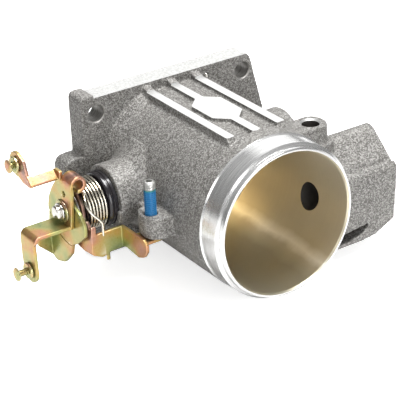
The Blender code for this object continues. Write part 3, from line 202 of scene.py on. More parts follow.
class Form:
    """A closed mesh that is being worked on, in millimetres."""

    def __init__(self, mesh: bpy.types.Mesh) -> None:
        """Takes over the mesh."""
        self.mesh = mesh

    @classmethod
    def of_bmesh(cls, work: bmesh.types.BMesh, face: Face = Face.CAST) -> Form:
        """Turns a bmesh into a form whose faces point outwards.

        Args:
            work: The bmesh, which is freed.
            face: The finish that all its faces carry.

        Returns:
            The new form.
        """
        bmesh.ops.recalc_face_normals(work, faces=work.faces)
        for polygon in work.faces:
            polygon.material_index = face.value
        mesh = bpy.data.meshes.new("form")
        work.to_mesh(mesh)
        work.free()
        return cls(mesh)

    @classmethod
    def lathe(cls, profile: Sequence[Point2], place: Matrix, steps: int = 64,
              closed: bool = False, face: Face = Face.CAST) -> Form:
        """A turned form.

        Args:
            profile: The (radius, height) points of its outer side.
            place: Where its axis stands.
            steps: How many steps go round.
            closed: Joins the last point to the first, for a ring that misses the axis.
            face: The finish that its faces carry.

        Returns:
            The turned form.
        """
        work = bmesh.new()
        rows: list[list[bmesh.types.BMVert]] = []
        for radius, height in profile:
            if radius < 1e-6:
                rows.append([work.verts.new(place @ Vector((0.0, 0.0, height)))])
                continue
            turns = [math.tau * step / steps for step in range(steps)]
            rows.append([work.verts.new(place @ Vector((radius * math.cos(t), radius * math.sin(t), height)))
                         for t in turns])
        pairs = list(zip(rows, rows[1:]))
        if closed:
            pairs.append((rows[-1], rows[0]))
        for lower, upper in pairs:
            for step in range(steps):
                follow = (step + 1) % steps
                corners = [lower[step % len(lower)], lower[follow % len(lower)],
                           upper[follow % len(upper)], upper[step % len(upper)]]
                corners = list(dict.fromkeys(corners))
                if len(corners) > 2:
                    work.faces.new(corners)
        return cls.of_bmesh(work, face)

    @classmethod
    def rod(cls, radius: float, low: float, high: float, place: Matrix, steps: int = 64,
            edge: float = 0.0, face: Face = Face.CAST) -> Form:
        """A round bar between two heights, with an optional edge chamfer."""
        profile = [(0.0, low), (radius - edge, low), (radius, low + edge),
                   (radius, high - edge), (radius - edge, high), (0.0, high)]
        if edge == 0.0:
            profile = [(0.0, low), (radius, low), (radius, high), (0.0, high)]
        return cls.lathe(profile, place, steps, face=face)

    @classmethod
    def ring(cls, inner: float, outer: float, low: float, high: float, place: Matrix,
             edge: float = 0.15, steps: int = 64, face: Face = Face.CAST) -> Form:
        """A flat ring with chamfered edges between two heights."""
        profile = [(inner + edge, low), (outer - edge, low), (outer, low + edge), (outer, high - edge),
                   (outer - edge, high), (inner + edge, high), (inner, high - edge), (inner, low + edge)]
        return cls.lathe(profile, place, steps, True, face)

    @classmethod
    def block(cls, low: Sequence[float], high: Sequence[float], face: Face = Face.CAST) -> Form:
        """A box between two corners."""
        work = bmesh.new()
        bmesh.ops.create_cube(work, size=1.0)
        bmesh.ops.scale(work, vec=[b - a for a, b in zip(low, high)], verts=work.verts)
        bmesh.ops.translate(work, vec=[(a + b) / 2 for a, b in zip(low, high)], verts=work.verts)
        return cls.of_bmesh(work, face)

    @classmethod
    def plate(cls, outline: Sequence[Vector], low: float, high: float, place: Matrix,
              holes: Iterable[Sequence[Vector]] = (), face: Face = Face.CAST) -> Form:
        """A flat plate between two heights.

        Args:
            outline: Its closed outline.
            low: The lower height along the placing matrix's local Z.
            high: The upper height.
            place: Where the outline's plane lies.
            holes: Closed outlines cut right through.
            face: The finish that its faces carry.

        Returns:
            The plate.
        """
        curve = bpy.data.curves.new("outline", "CURVE")
        curve.dimensions = "2D"
        curve.fill_mode = "BOTH"
        curve.extrude = (high - low) / 2
        for loop in (outline, *holes):
            spline = curve.splines.new("POLY")
            spline.points.add(len(loop) - 1)
            for point, corner in zip(spline.points, loop):
                point.co = (corner[0], corner[1], 0.0, 1.0)
            spline.use_cyclic_u = True
        made = bpy.data.objects.new("outline", curve)
        bpy.context.scene.collection.objects.link(made)
        bpy.context.view_layer.update()
        mesh = bpy.data.meshes.new_from_object(made.evaluated_get(bpy.context.evaluated_depsgraph_get()))
        bpy.data.objects.remove(made, do_unlink=True)
        work = bmesh.new()
        work.from_mesh(mesh)
        bmesh.ops.remove_doubles(work, verts=work.verts, dist=0.01)
        bmesh.ops.transform(work, matrix=place @ Matrix.Translation((0, 0, (low + high) / 2)),
                            verts=work.verts)
        return cls.of_bmesh(work, face)

    @classmethod
    def wire(cls, points: Sequence[Vector], radius: float, sides: int = 14) -> Form:
        """A round wire along a line, with domed ends.

        Args:
            points: The wire's centre line.
            radius: The wire's radius.
            sides: How many sides it has.

        Returns:
            The wire.
        """
        work = bmesh.new()
        across = (points[1] - points[0]).orthogonal().normalized()
        rows: list[list[bmesh.types.BMVert]] = []
        for index, here in enumerate(points):
            along = (points[min(index + 1, len(points) - 1)] - points[max(index - 1, 0)]).normalized()
            across = (across - along * across.dot(along)).normalized()
            other = along.cross(across)
            end = index in (0, len(points) - 1)
            size = radius * (0.72 if end else 1.0)
            turns = [math.tau * side / sides for side in range(sides)]
            rows.append([work.verts.new(here + size * (across * math.cos(t) + other * math.sin(t)))
                         for t in turns])
        for lower, upper in zip(rows, rows[1:]):
            for side in range(sides):
                follow = (side + 1) % sides
                work.faces.new([lower[side], lower[follow], upper[follow], upper[side]])
        work.faces.new(rows[0])
        work.faces.new(rows[-1])
        return cls.of_bmesh(work)

    def __add__(self, other: Form) -> Form:
        """Both forms in one mesh."""
        work = bmesh.new()
        work.from_mesh(self.mesh)
        work.from_mesh(other.mesh)
        mesh = bpy.data.meshes.new("form")
        work.to_mesh(mesh)
        work.free()
        return Form(mesh)

    def _through(self, change: Callable[[bpy.types.Object], None]) -> Form:
        """This form after the modifiers that change adds to its object."""
        made = bpy.data.objects.new("form", self.mesh)
        bpy.context.scene.collection.objects.link(made)
        change(made)
        bpy.context.view_layer.update()
        seen = made.evaluated_get(bpy.context.evaluated_depsgraph_get())
        mesh = bpy.data.meshes.new_from_object(seen)
        bpy.data.objects.remove(made, do_unlink=True)
        return Form(mesh)

    def _boolean(self, other: Form, operation: str) -> Form:
        """This form joined to, cut by or kept inside the other one."""
        tool = bpy.data.objects.new("tool", other.mesh)
        bpy.context.scene.collection.objects.link(tool)
        for mesh in (self.mesh, other.mesh):
            while len(mesh.materials) < len(Face):
                mesh.materials.append(None)

        def add(made: bpy.types.Object) -> None:
            """Adds the Boolean modifier."""
            step = made.modifiers.new("Cut", "BOOLEAN")
            step.operation = operation
            step.object = tool
            step.solver = "MANIFOLD"
            step.material_mode = "INDEX"

        result = self._through(add)
        bpy.data.objects.remove(tool, do_unlink=True)
        if not result.mesh.polygons:
            raise ValueError(f"a {operation} left nothing")
        return result

    def minus(self, *tools: Form) -> Form:
        """This form with each tool cut out of it in turn."""
        result = self
        for tool in tools:
            result = result._boolean(tool, "DIFFERENCE")
        return result

    def meet(self, other: Form) -> Form:
        """What this form and the other one share."""
        return self._boolean(other, "INTERSECT")

    def fused(self, voxel: float, rounds: int, keep: float = 1.0) -> Form:
        """Runs overlapping solids into one skin with soft fillets, as a casting or a pressing has.

        Args:
            voxel: The finest detail that is kept.
            rounds: How often the skin is smoothed.
            keep: The share of its faces that is kept.

        Returns:
            The fused form.
        """
        def add(made: bpy.types.Object) -> None:
            """Adds the remesh, the smoothing and the thinning."""
            skin = made.modifiers.new("Skin", "REMESH")
            skin.mode = "VOXEL"
            skin.voxel_size = voxel
            soft = made.modifiers.new("Fillets", "SMOOTH")
            soft.factor = 0.5
            soft.iterations = rounds
            if keep < 1.0:
                fewer = made.modifiers.new("Fewer", "DECIMATE")
                fewer.ratio = keep
        return self._through(add)

    def eased(self, width: float, segments: int = 2, angle: float = 35.0) -> Form:
        """This form with its sharp edges rounded."""
        def add(made: bpy.types.Object) -> None:
            """Adds the edge rounding."""
            edge = made.modifiers.new("Edges", "BEVEL")
            edge.width = width
            edge.segments = segments
            edge.limit_method = "ANGLE"
            edge.angle_limit = math.radians(angle)
        return self._through(add)

    def piece(self, name: str, body: Body, slot: str, finishes: Sequence[bpy.types.Material],
              stands_for: Sequence[str] = (), sharp: float = 32.0, ride: bool = True) -> bpy.types.Object:
        """Hands the form over as a piece of the scene, in metres.

        Args:
            name: The piece's name.
            body: The body that it rides on.
            slot: The record's material slot; not used.
            finishes: Its materials, by the order of Face.
            stands_for: The frame's nodes that it replaces.
            sharp: The angle in degrees past which an edge looks sharp.
            ride: Whether it rides on the body here.

        Returns:
            The new object.
        """
        mesh = self.mesh.copy()
        mesh.name = name
        mesh.transform(Matrix.Scale(MM, 4))
        faces = [polygon.material_index if len(finishes) > 1 else 0 for polygon in mesh.polygons]
        mesh.materials.clear()
        for finish in finishes:
            mesh.materials.append(finish)
        mesh.polygons.foreach_set("material_index", faces)
        mesh.shade_smooth()
        mesh.set_sharp_from_angle(angle=math.radians(sharp))
        made = bpy.data.objects.new(name, mesh)
        bpy.context.scene.collection.objects.link(made)
        if ride:
            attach(made, body.value)
        if stands_for:
            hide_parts(*stands_for)
        LOG.info("%s: %d faces on %s", name, len(mesh.polygons), body.value)
        return made


def across_shaft(depth: float = 0.0) -> Matrix:
    """A plane square to the shaft on its left: local X is Y from the shaft, local Y is Z, +Z is +X."""
    return Axis.RIGHT.at(-depth, SHAFT_Y, 0.0)


def on_shaft(direction: Axis = Axis.RIGHT) -> Matrix:
    """The shaft's own line."""
    return direction.at(0.0, SHAFT_Y, 0.0)


# ------------------------------------------------------------------ node graphs

class Graph:
    """A thin hand on a node tree."""

    def __init__(self, tree: bpy.types.NodeTree) -> None:
        """Takes the tree to work on."""
        self.tree = tree

    def add(self, kind: str, values: dict[str | int, object] | None = None,
            **settings: object) -> bpy.types.Node:
        """Adds a node.

        Args:
            kind: The node's type.
            values: Each input's value, or the socket that feeds it.
            settings: The node's own settings.

        Returns:
            The new node.
        """
        node = self.tree.nodes.new(kind)
        for name, setting in settings.items():
            setattr(node, name, setting)
        for name, value in (values or {}).items():
            if isinstance(value, bpy.types.NodeSocket):
                self.tree.links.new(value, node.inputs[name])
            else:
                node.inputs[name].default_value = value
        return node

    def maths(self, operation: str, a: object, b: object = 0.0, clamp: bool = False) -> bpy.types.NodeSocket:
        """The result of a sum on two values or sockets."""
        return self.add("ShaderNodeMath", {0: a, 1: b}, operation=operation, use_clamp=clamp).outputs[0]

    def ramp(self, factor: bpy.types.NodeSocket, stops: Sequence[tuple[float, Colour]],
             smooth: bool = True) -> bpy.types.NodeSocket:
        """A colour ramp.

        Args:
            factor: What drives it.
            stops: Each stop's position and colour.
            smooth: Whether it eases between its stops.

        Returns:
            The colour socket.
        """
        node = self.add("ShaderNodeValToRGB", {0: factor})
        node.color_ramp.interpolation = "EASE" if smooth else "LINEAR"
        elements = node.color_ramp.elements
        while len(elements) < len(stops):
            elements.new(1.0)
        for element, (position, colour) in zip(elements, stops):
            element.position = position
            element.color = (*colour, 1.0)
        return node.outputs[0]

    def blend(self, factor: object, a: object, b: object, mode: str = "MIX") -> bpy.types.NodeSocket:
        """Two colours mixed by a factor."""
        node = self.add("ShaderNodeMix", {0: factor}, data_type="RGBA", blend_type=mode)
        for socket, value in ((node.inputs[6], a), (node.inputs[7], b)):
            if isinstance(value, bpy.types.NodeSocket):
                self.tree.links.new(value, socket)
            else:
                socket.default_value = (*value, 1.0)
        return node.outputs[2]

    def noise(self, place: bpy.types.NodeSocket, scale: object, detail: float = 3.0,
              roughness: float = 0.55) -> bpy.types.NodeSocket:
        """A noise value over the piece."""
        return self.add("ShaderNodeTexNoise", {"Vector": place, "Scale": scale, "Detail": detail,
                                               "Roughness": roughness}).outputs[0]

    def spot(self) -> bpy.types.NodeSocket:
        """Where a point of the piece is, in metres."""
        return self.add("ShaderNodeTexCoord").outputs["Object"]


@dataclass(frozen=True)
class Socket:
    """One input or output of a shared effect."""

    name: str
    kind: str = "NodeSocketFloat"
    start: float = 0.0


class Effect:
    """A node group that several finishes share."""

    def __init__(self, name: str, inputs: Sequence[Socket], outputs: Sequence[Socket],
                 draw: Callable[[Graph, bpy.types.Node], dict[str, bpy.types.NodeSocket]]) -> None:
        """Builds the group once.

        Args:
            name: The group's name.
            inputs: Its inputs.
            outputs: Its outputs.
            draw: Lays its nodes and returns the socket behind each output.
        """
        self.tree = bpy.data.node_groups.new(name, "ShaderNodeTree")
        for direction, sockets in (("INPUT", inputs), ("OUTPUT", outputs)):
            for item in sockets:
                made = self.tree.interface.new_socket(name=item.name, in_out=direction, socket_type=item.kind)
                if direction == "INPUT" and item.kind == "NodeSocketFloat":
                    made.default_value = item.start
        graph = Graph(self.tree)
        entry = graph.add("NodeGroupInput")
        leave = graph.add("NodeGroupOutput")
        for label, socket in draw(graph, entry).items():
            self.tree.links.new(socket, leave.inputs[label])

    def on(self, graph: Graph, **values: object) -> bpy.types.Node:
        """Places the group in a material; a name's underscores stand for spaces."""
        return graph.add("ShaderNodeGroup", {key.replace("_", " "): value for key, value in values.items()},
                         node_tree=self.tree)


def draw_grain(graph: Graph, entry: bpy.types.Node) -> dict[str, bpy.types.NodeSocket]:
    """Lays the sand grain of a casting: pale and dark specks, broad mottling and a height."""
    spot = graph.spot()
    scale = entry.outputs["Scale"]
    fine = graph.noise(spot, scale, 2.0, 0.6)
    cells = graph.add("ShaderNodeTexVoronoi", {"Vector": spot, "Scale": scale}).outputs["Color"]
    speck = graph.add("ShaderNodeSeparateColor", {0: cells}).outputs[0]
    mottle = graph.noise(spot, graph.maths("MULTIPLY", scale, 0.05), 3.0)
    mixed = graph.maths("ADD", graph.maths("MULTIPLY", fine, 0.55), graph.maths("MULTIPLY", speck, 0.45))
    return {"Speck": mixed, "Mottle": mottle, "Height": graph.maths("ADD", mixed, mottle)}


def draw_marks(graph: Graph, entry: bpy.types.Node) -> dict[str, bpy.types.NodeSocket]:
    """Lays tool marks: lines that run along the directions whose stretch is small."""
    stretch = graph.add("ShaderNodeCombineXYZ", {0: entry.outputs["Across X"], 1: entry.outputs["Across Y"],
                                                 2: entry.outputs["Across Z"]}).outputs[0]
    spot = graph.add("ShaderNodeVectorMath", {0: graph.spot(), 1: stretch}, operation="MULTIPLY").outputs[0]
    lines = graph.noise(spot, 1.0, 4.0, 0.7)
    smear = graph.noise(graph.spot(), 60.0, 3.0)
    return {"Lines": lines, "Smear": smear}


def draw_iridescence(graph: Graph, entry: bpy.types.Node) -> dict[str, bpy.types.NodeSocket]:
    """Lays the drifting colours of yellow-passivated zinc."""
    spot = graph.spot()
    parts = graph.add("ShaderNodeSeparateXYZ", {0: spot})
    drift = graph.noise(spot, entry.outputs["Scale"], 2.0, 0.5)
    value = graph.maths("MULTIPLY", graph.maths("SUBTRACT", drift, 0.5), 1.5)
    for index, label in enumerate(("Along X", "Along Y", "Along Z")):
        value = graph.maths("ADD", value, graph.maths("MULTIPLY", parts.outputs[index], entry.outputs[label]))
    value = graph.maths("ADD", value, entry.outputs["Start"], clamp=True)
    colour = graph.ramp(value, [
        (0.00, (0.12, 0.17, 0.05)), (0.14, (0.22, 0.26, 0.07)), (0.28, (0.32, 0.29, 0.08)),
        (0.42, (0.40, 0.25, 0.05)), (0.56, (0.43, 0.16, 0.06)), (0.70, (0.40, 0.16, 0.12)),
        (0.84, (0.15, 0.05, 0.06)), (1.00, (0.16, 0.24, 0.09)),
    ], smooth=False)
    blotch = graph.noise(spot, 900.0, 3.0)
    return {"Colour": colour, "Blotch": blotch}


def draw_painted_light(graph: Graph, entry: bpy.types.Node) -> dict[str, bpy.types.NodeSocket]:
    """Lays painted light: a mask that is bright on outer edges for painted highlights, and another that is
    bright in corners for painted shade.
    """
    point = graph.add("ShaderNodeNewGeometry").outputs["Pointiness"]
    edge = graph.maths("MULTIPLY", graph.maths("SUBTRACT", point, 0.52), entry.outputs["Reach"], clamp=True)
    nook = graph.maths("MULTIPLY", graph.maths("SUBTRACT", 0.48, point), entry.outputs["Reach"], clamp=True)
    return {"Edge": edge, "Nook": nook}


class Effects:
    """Every shared effect of the scene."""

    def __init__(self) -> None:
        """Builds the groups."""
        self.grain = Effect("sand_grain", [Socket("Scale", start=1600.0)],
                            [Socket("Speck"), Socket("Mottle"), Socket("Height")], draw_grain)
        self.marks = Effect("tool_marks",
                            [Socket("Across X", start=50.0), Socket("Across Y", start=50.0),
                             Socket("Across Z", start=50.0)],
                            [Socket("Lines"), Socket("Smear")], draw_marks)
        self.iridescence = Effect("passivation_colours",
                                  [Socket("Scale", start=70.0), Socket("Start", start=0.4), Socket("Along X"),
                                   Socket("Along Y"), Socket("Along Z")],
                                  [Socket("Colour", "NodeSocketColor"), Socket("Blotch")], draw_iridescence)
        # This group paints light into colour: painted highlights on outer edges and painted shade in corners.
        self.painted_light = Effect("edge_highlight_nook_shade", [Socket("Reach", start=8.0)], [Socket("Edge"), Socket("Nook")],
                           draw_painted_light)


@dataclass(frozen=True)
class Finish:
    """A material's name with its plain metal and roughness values."""

    name: str
    metallic: float = 1.0
    roughness: float = 0.35

    def start(self) -> tuple[bpy.types.Material, Graph, bpy.types.Node]:
        """Makes the material.

        Returns:
            The material, its graph and its shader.
        """
        made = bpy.data.materials.new(self.name)
        made.use_nodes = True
        shader = made.node_tree.nodes["Principled BSDF"]
        shader.inputs["Metallic"].default_value = self.metallic
        shader.inputs["Roughness"].default_value = self.roughness
        return made, Graph(made.node_tree), shader

    @staticmethod
    def feed(graph: Graph, shader: bpy.types.Node, colour: object = None, roughness: object = None,
             height: object = None, depth: float = 0.05) -> None:
        """Joins the nodes to the shader.

        Args:
            graph: The material's graph.
            shader: Its shader.
            colour: What feeds the base colour.
            roughness: What feeds the roughness.
            height: What feeds the bump.
            depth: The bump's depth in millimetres.
        """
        if colour is not None:
            graph.tree.links.new(colour, shader.inputs["Base Color"])
        if roughness is not None:
            graph.tree.links.new(roughness, shader.inputs["Roughness"])
        if height is not None:
            bump = graph.add("ShaderNodeBump", {"Height": height, "Distance": depth * MM, "Strength": 0.8})
            graph.tree.links.new(bump.outputs[0], shader.inputs["Normal"])


@dataclass(frozen=True)
class CastAluminium(Finish):
    """Sand-grey cast aluminium with fine salt-and-pepper grain, painted highlights on its outer edges and
    painted shade in its corners.
    """

    name: str = "cast_aluminium"
    metallic: float = 0.35
    roughness: float = 0.62
    dark: Colour = (0.070, 0.067, 0.062)
    middle: Colour = (0.155, 0.151, 0.144)
    pale: Colour = (0.34, 0.335, 0.32)
    grain: float = 1850.0

    def make(self, effects: Effects) -> bpy.types.Material:
        """Builds the material."""
        made, graph, shader = self.start()
        grain = effects.grain.on(graph, Scale=self.grain)
        painted_light = effects.painted_light.on(graph, Reach=6.0)
        colour = graph.ramp(grain.outputs["Speck"],
                            [(0.33, self.dark), (0.5, self.middle), (0.70, self.pale)])
        warm = graph.blend(graph.maths("MULTIPLY", grain.outputs["Mottle"], 0.3), colour,
                           (0.20, 0.185, 0.165))
        # Painted highlight: outer edges are lightened towards pale grey.
        lit = graph.blend(graph.maths("MULTIPLY", painted_light.outputs["Edge"], 0.5), warm, (0.55, 0.54, 0.52))
        # Painted shade: corners and hollows are darkened towards near-black.
        deep = graph.blend(graph.maths("MULTIPLY", painted_light.outputs["Nook"], 0.6), lit, (0.07, 0.062, 0.055))
        rough = graph.maths("ADD", graph.maths("MULTIPLY", grain.outputs["Speck"], 0.25), 0.45)
        self.feed(graph, shader, deep, rough, grain.outputs["Height"], 0.22)
        return made


@dataclass(frozen=True)
class MachinedAluminium(Finish):
    """Bright milled or turned aluminium with fine tool marks."""

    name: str = "machined_aluminium"
    metallic: float = 0.85
    roughness: float = 0.34
    tint: Colour = (0.74, 0.74, 0.73)
    shade: Colour = (0.58, 0.58, 0.57)
    across: tuple[float, float, float] = (160.0, 2600.0, 160.0)

    def make(self, effects: Effects) -> bpy.types.Material:
        """Builds the material."""
        made, graph, shader = self.start()
        x, y, z = self.across
        marks = effects.marks.on(graph, Across_X=x, Across_Y=y, Across_Z=z)
        lines = marks.outputs["Lines"]
        colour = graph.ramp(lines, [(0.3, self.shade), (0.62, self.tint)])
        rough = graph.maths("ADD", graph.maths("MULTIPLY", marks.outputs["Smear"], 0.22),
                            self.roughness - 0.11)
        self.feed(graph, shader, colour, rough, lines, 0.012)
        return made


@dataclass(frozen=True)
class BoreBronzeWithPaintedLight(Finish):
    """The honed bore's golden bronze tone, painted by the angle round its axis with painted shade along the
    floor of the bore and a painted highlight streak along the axis beside it.
    """

    name: str = "bore_bronze_painted_light"
    metallic: float = 0.75
    roughness: float = 0.36

    def make(self, effects: Effects) -> bpy.types.Material:
        """Builds the material."""
        made, graph, shader = self.start()
        marks = effects.marks.on(graph, Across_X=14.0, Across_Y=1500.0, Across_Z=14.0)
        parts = graph.add("ShaderNodeSeparateXYZ", {0: graph.spot()})
        turn = graph.maths("ARCTAN2", parts.outputs[2], parts.outputs[0])
        turn = graph.maths("ADD", graph.maths("DIVIDE", turn, math.tau), 0.5)
        sway = graph.maths("MULTIPLY", graph.maths("SUBTRACT", marks.outputs["Smear"], 0.5), 0.035)
        # Painted light by angle round the axis: painted shade over the bore's floor (0.16 to 0.30), a narrow
        # painted highlight streak (0.352) and lighter sides and top.
        surface_tone = graph.ramp(graph.maths("ADD", turn, sway), [
            (0.00, (0.80, 0.74, 0.60)), (0.16, (0.44, 0.41, 0.32)), (0.30, (0.33, 0.31, 0.24)),
            (0.335, (0.50, 0.46, 0.36)), (0.352, (0.92, 0.88, 0.78)), (0.375, (0.58, 0.52, 0.39)),
            (0.50, (0.86, 0.78, 0.60)), (0.70, (0.92, 0.85, 0.69)), (1.00, (0.80, 0.74, 0.60)),
        ], smooth=False)
        colour = graph.blend(graph.maths("MULTIPLY", marks.outputs["Lines"], 0.25), surface_tone, (0.44, 0.40, 0.31))
        rough = graph.maths("ADD", graph.maths("MULTIPLY", marks.outputs["Lines"], 0.16),
                            self.roughness - 0.08)
        self.feed(graph, shader, colour, rough, marks.outputs["Lines"], 0.006)
        return made


@dataclass(frozen=True)
class PaintedShadePassage(Finish):
    """The rough wall deep inside a drilled air passage, painted near-black as painted shade where little
    light would reach.
    """

    name: str = "passage_painted_shade"
    metallic: float = 0.1
    roughness: float = 0.7
    dark: Colour = (0.010, 0.009, 0.008)
    pale: Colour = (0.045, 0.040, 0.034)

    def make(self, effects: Effects) -> bpy.types.Material:
        """Builds the material."""
        made, graph, shader = self.start()
        grain = effects.grain.on(graph, Scale=900.0)
        # Painted shade: the passage walls are near-black, standing in for the dark of a closed passage.
        colour = graph.ramp(grain.outputs["Mottle"], [(0.35, self.dark), (0.7, self.pale)])
        rough = graph.maths("ADD", graph.maths("MULTIPLY", grain.outputs["Speck"], 0.2), self.roughness - 0.1)
        self.feed(graph, shader, colour, rough, grain.outputs["Speck"], 0.03)
        return made


@dataclass(frozen=True)
class PlainMetal(Finish):
    """A bright metal with light marks and painted shade in its corners, such as steel or brass."""

    name: str = "bright_steel"
    metallic: float = 1.0
    roughness: float = 0.24
    tint: Colour = (0.72, 0.71, 0.68)
    shade: Colour = (0.42, 0.40, 0.36)
    grain: float = 700.0

    def make(self, effects: Effects) -> bpy.types.Material:
        """Builds the material."""
        made, graph, shader = self.start()
        grain = effects.grain.on(graph, Scale=self.grain)
        painted_light = effects.painted_light.on(graph, Reach=8.0)
        colour = graph.ramp(grain.outputs["Mottle"], [(0.25, self.shade), (0.6, self.tint)])
        # Painted shade: corners are darkened towards a deep tone of the metal.
        deep = graph.blend(graph.maths("MULTIPLY", painted_light.outputs["Nook"], 0.7), colour,
                           tuple(0.35 * part for part in self.shade))
        rough = graph.maths("ADD", graph.maths("MULTIPLY", grain.outputs["Speck"], 0.2), self.roughness - 0.1)
        self.feed(graph, shader, deep, rough, grain.outputs["Speck"], 0.012)
        return made


@dataclass(frozen=True)
class YellowZinc(Finish):
    """Yellow-passivated zinc plate whose colours drift over the piece, with painted highlights on its outer
    edges and painted shade in its corners.
    """

    name: str = "yellow_zinc"
    metallic: float = 0.8
    roughness: float = 0.3
    start_colour: float = 0.36
    drift: tuple[float, float, float] = (0.0, 0.0, 0.0)
    anchor: tuple[float, float, float] = (0.0, 0.0, 0.0)
    scale: float = 75.0

    def make(self, effects: Effects) -> bpy.types.Material:
        """Builds the material; drift is the colour's run for each metre, counted from anchor."""
        made, graph, shader = self.start()
        shift = self.start_colour - sum(a * b * MM for a, b in zip(self.drift, self.anchor))
        x, y, z = self.drift
        surface_tone = effects.iridescence.on(graph, Scale=self.scale, Start=shift, Along_X=x, Along_Y=y, Along_Z=z)
        painted_light = effects.painted_light.on(graph, Reach=10.0)
        blotch = surface_tone.outputs["Blotch"]
        speck = graph.blend(graph.maths("MULTIPLY", blotch, 0.3), surface_tone.outputs["Colour"], (0.72, 0.66, 0.42))
        # Painted highlight: outer edges are lightened towards pale yellow.
        lit = graph.blend(graph.maths("MULTIPLY", painted_light.outputs["Edge"], 0.55), speck, (0.80, 0.76, 0.56))
        # Painted shade: corners are darkened towards dark brown.
        deep = graph.blend(graph.maths("MULTIPLY", painted_light.outputs["Nook"], 0.75), lit, (0.10, 0.035, 0.02))
        rough = graph.maths("ADD", graph.maths("MULTIPLY", blotch, 0.24), self.roughness - 0.1)
        self.feed(graph, shader, deep, rough, blotch, 0.02)
        return made


@dataclass(frozen=True)
class DarkMoulding(Finish):
    """Black moulded plastic or rubber, with painted highlights on its outer edges."""

    name: str = "black_plastic"
    metallic: float = 0.0
    roughness: float = 0.18
    tint: Colour = (0.008, 0.007, 0.008)

    def make(self, effects: Effects) -> bpy.types.Material:
        """Builds the material."""
        made, graph, shader = self.start()
        grain = effects.grain.on(graph, Scale=900.0)
        painted_light = effects.painted_light.on(graph, Reach=6.0)
        colour = graph.blend(graph.maths("MULTIPLY", grain.outputs["Mottle"], 0.4), self.tint,
                             (0.02, 0.017, 0.02))
        # Painted highlight: outer edges are lightened towards mid grey.
        lit = graph.blend(graph.maths("MULTIPLY", painted_light.outputs["Edge"], 0.25), colour, (0.10, 0.10, 0.10))
        rough = graph.maths("ADD", graph.maths("MULTIPLY", grain.outputs["Mottle"], 0.2),
                            self.roughness - 0.08)
        self.feed(graph, shader, lit, rough, grain.outputs["Speck"], 0.015)
        return made


@dataclass(frozen=True)
class LockedScrew(Finish):
    """Bright screw steel with blue thread-locking compound over its lower threads."""

    name: str = "screw_steel"
    metallic: float = 1.0
    roughness: float = 0.3
    silver_from: float = 15.4
    blue_to: float = 13.4

    def make(self, effects: Effects) -> bpy.types.Material:
        """Builds the material."""
        made, graph, shader = self.start()
        grain = effects.grain.on(graph, Scale=1200.0)
        parts = graph.add("ShaderNodeSeparateXYZ", {0: graph.spot()})
        ragged = graph.maths("MULTIPLY", graph.maths("SUBTRACT", grain.outputs["Mottle"], 0.5), 2.4)
        height = graph.maths("ADD", graph.maths("MULTIPLY", parts.outputs[2], 1.0 / MM), ragged)
        span = self.silver_from - self.blue_to
        bare = graph.maths("DIVIDE", graph.maths("SUBTRACT", height, self.blue_to), span, clamp=True)
        colour = graph.ramp(bare, [(0.0, (0.008, 0.12, 0.30)), (0.3, (0.015, 0.19, 0.33)),
                                   (0.62, (0.08, 0.26, 0.20)), (1.0, (0.62, 0.62, 0.60))])
        speck = graph.blend(graph.maths("MULTIPLY", grain.outputs["Speck"], 0.35), colour, (0.04, 0.24, 0.46))
        final = graph.blend(bare, speck, colour)
        graph.tree.links.new(bare, shader.inputs["Metallic"])
        rough = graph.maths("ADD", graph.maths("MULTIPLY", grain.outputs["Speck"], 0.25),
                            self.roughness - 0.06)
        self.feed(graph, shader, final, rough, grain.outputs["Speck"], 0.03)
        return made


class Paintbox:
    """Every finish of the object, made once."""

    def __init__(self) -> None:
        """Builds the materials."""
        effects = Effects()
        self.cast = CastAluminium().make(effects)
        self.milled = MachinedAluminium(across=(2200.0, 180.0, 180.0)).make(effects)
        self.turned = MachinedAluminium("turned_aluminium", 0.9, 0.22, (0.80, 0.80, 0.79), (0.52, 0.52, 0.52),
                                        (25.0, 2600.0, 25.0)).make(effects)
        self.drilled = MachinedAluminium("drilled_aluminium", 0.7, 0.5, (0.34, 0.33, 0.31),
                                         (0.16, 0.155, 0.145), (160.0, 1500.0, 160.0)).make(effects)
        self.skimmed = MachinedAluminium("skimmed_aluminium", 0.45, 0.5, (0.50, 0.50, 0.49),
                                         (0.33, 0.33, 0.32), (900.0, 700.0, 180.0)).make(effects)
        self.passage = PaintedShadePassage().make(effects)
        self.bore = BoreBronzeWithPaintedLight().make(effects)
        self.steel = PlainMetal().make(effects)
        self.spring = PlainMetal("spring_steel", roughness=0.2, tint=(0.70, 0.67, 0.58),
                                 shade=(0.42, 0.38, 0.31)).make(effects)
        self.brass = PlainMetal("brass", roughness=0.28, tint=(0.70, 0.54, 0.27),
                                shade=(0.50, 0.36, 0.17)).make(effects)
        self.plastic = DarkMoulding().make(effects)
        self.rubber = DarkMoulding("seal_rubber", roughness=0.55, tint=(0.02, 0.02, 0.02)).make(effects)
        self.screw = LockedScrew().make(effects)
        self.lever_zinc = YellowZinc("yellow_zinc_lever", start_colour=0.50, drift=(-3.0, -9.0, 9.0),
                                     anchor=(-77.0, -38.0, 8.0)).make(effects)
        self.cam_zinc = YellowZinc("yellow_zinc_cam", start_colour=0.22, drift=(0.0, 5.0, 2.0),
                                   anchor=(-74.0, -45.0, -10.0), scale=60.0).make(effects)
        self.web_zinc = YellowZinc("yellow_zinc_stop", start_colour=0.46, drift=(-9.0, 0.0, 6.0),
                                   anchor=(-62.0, -47.0, -15.0), scale=60.0).make(effects)
        self.stud_zinc = YellowZinc("yellow_zinc_stud", start_colour=0.34, scale=160.0,
                                    roughness=0.22).make(effects)


# ------------------------------------------------------------------ housing

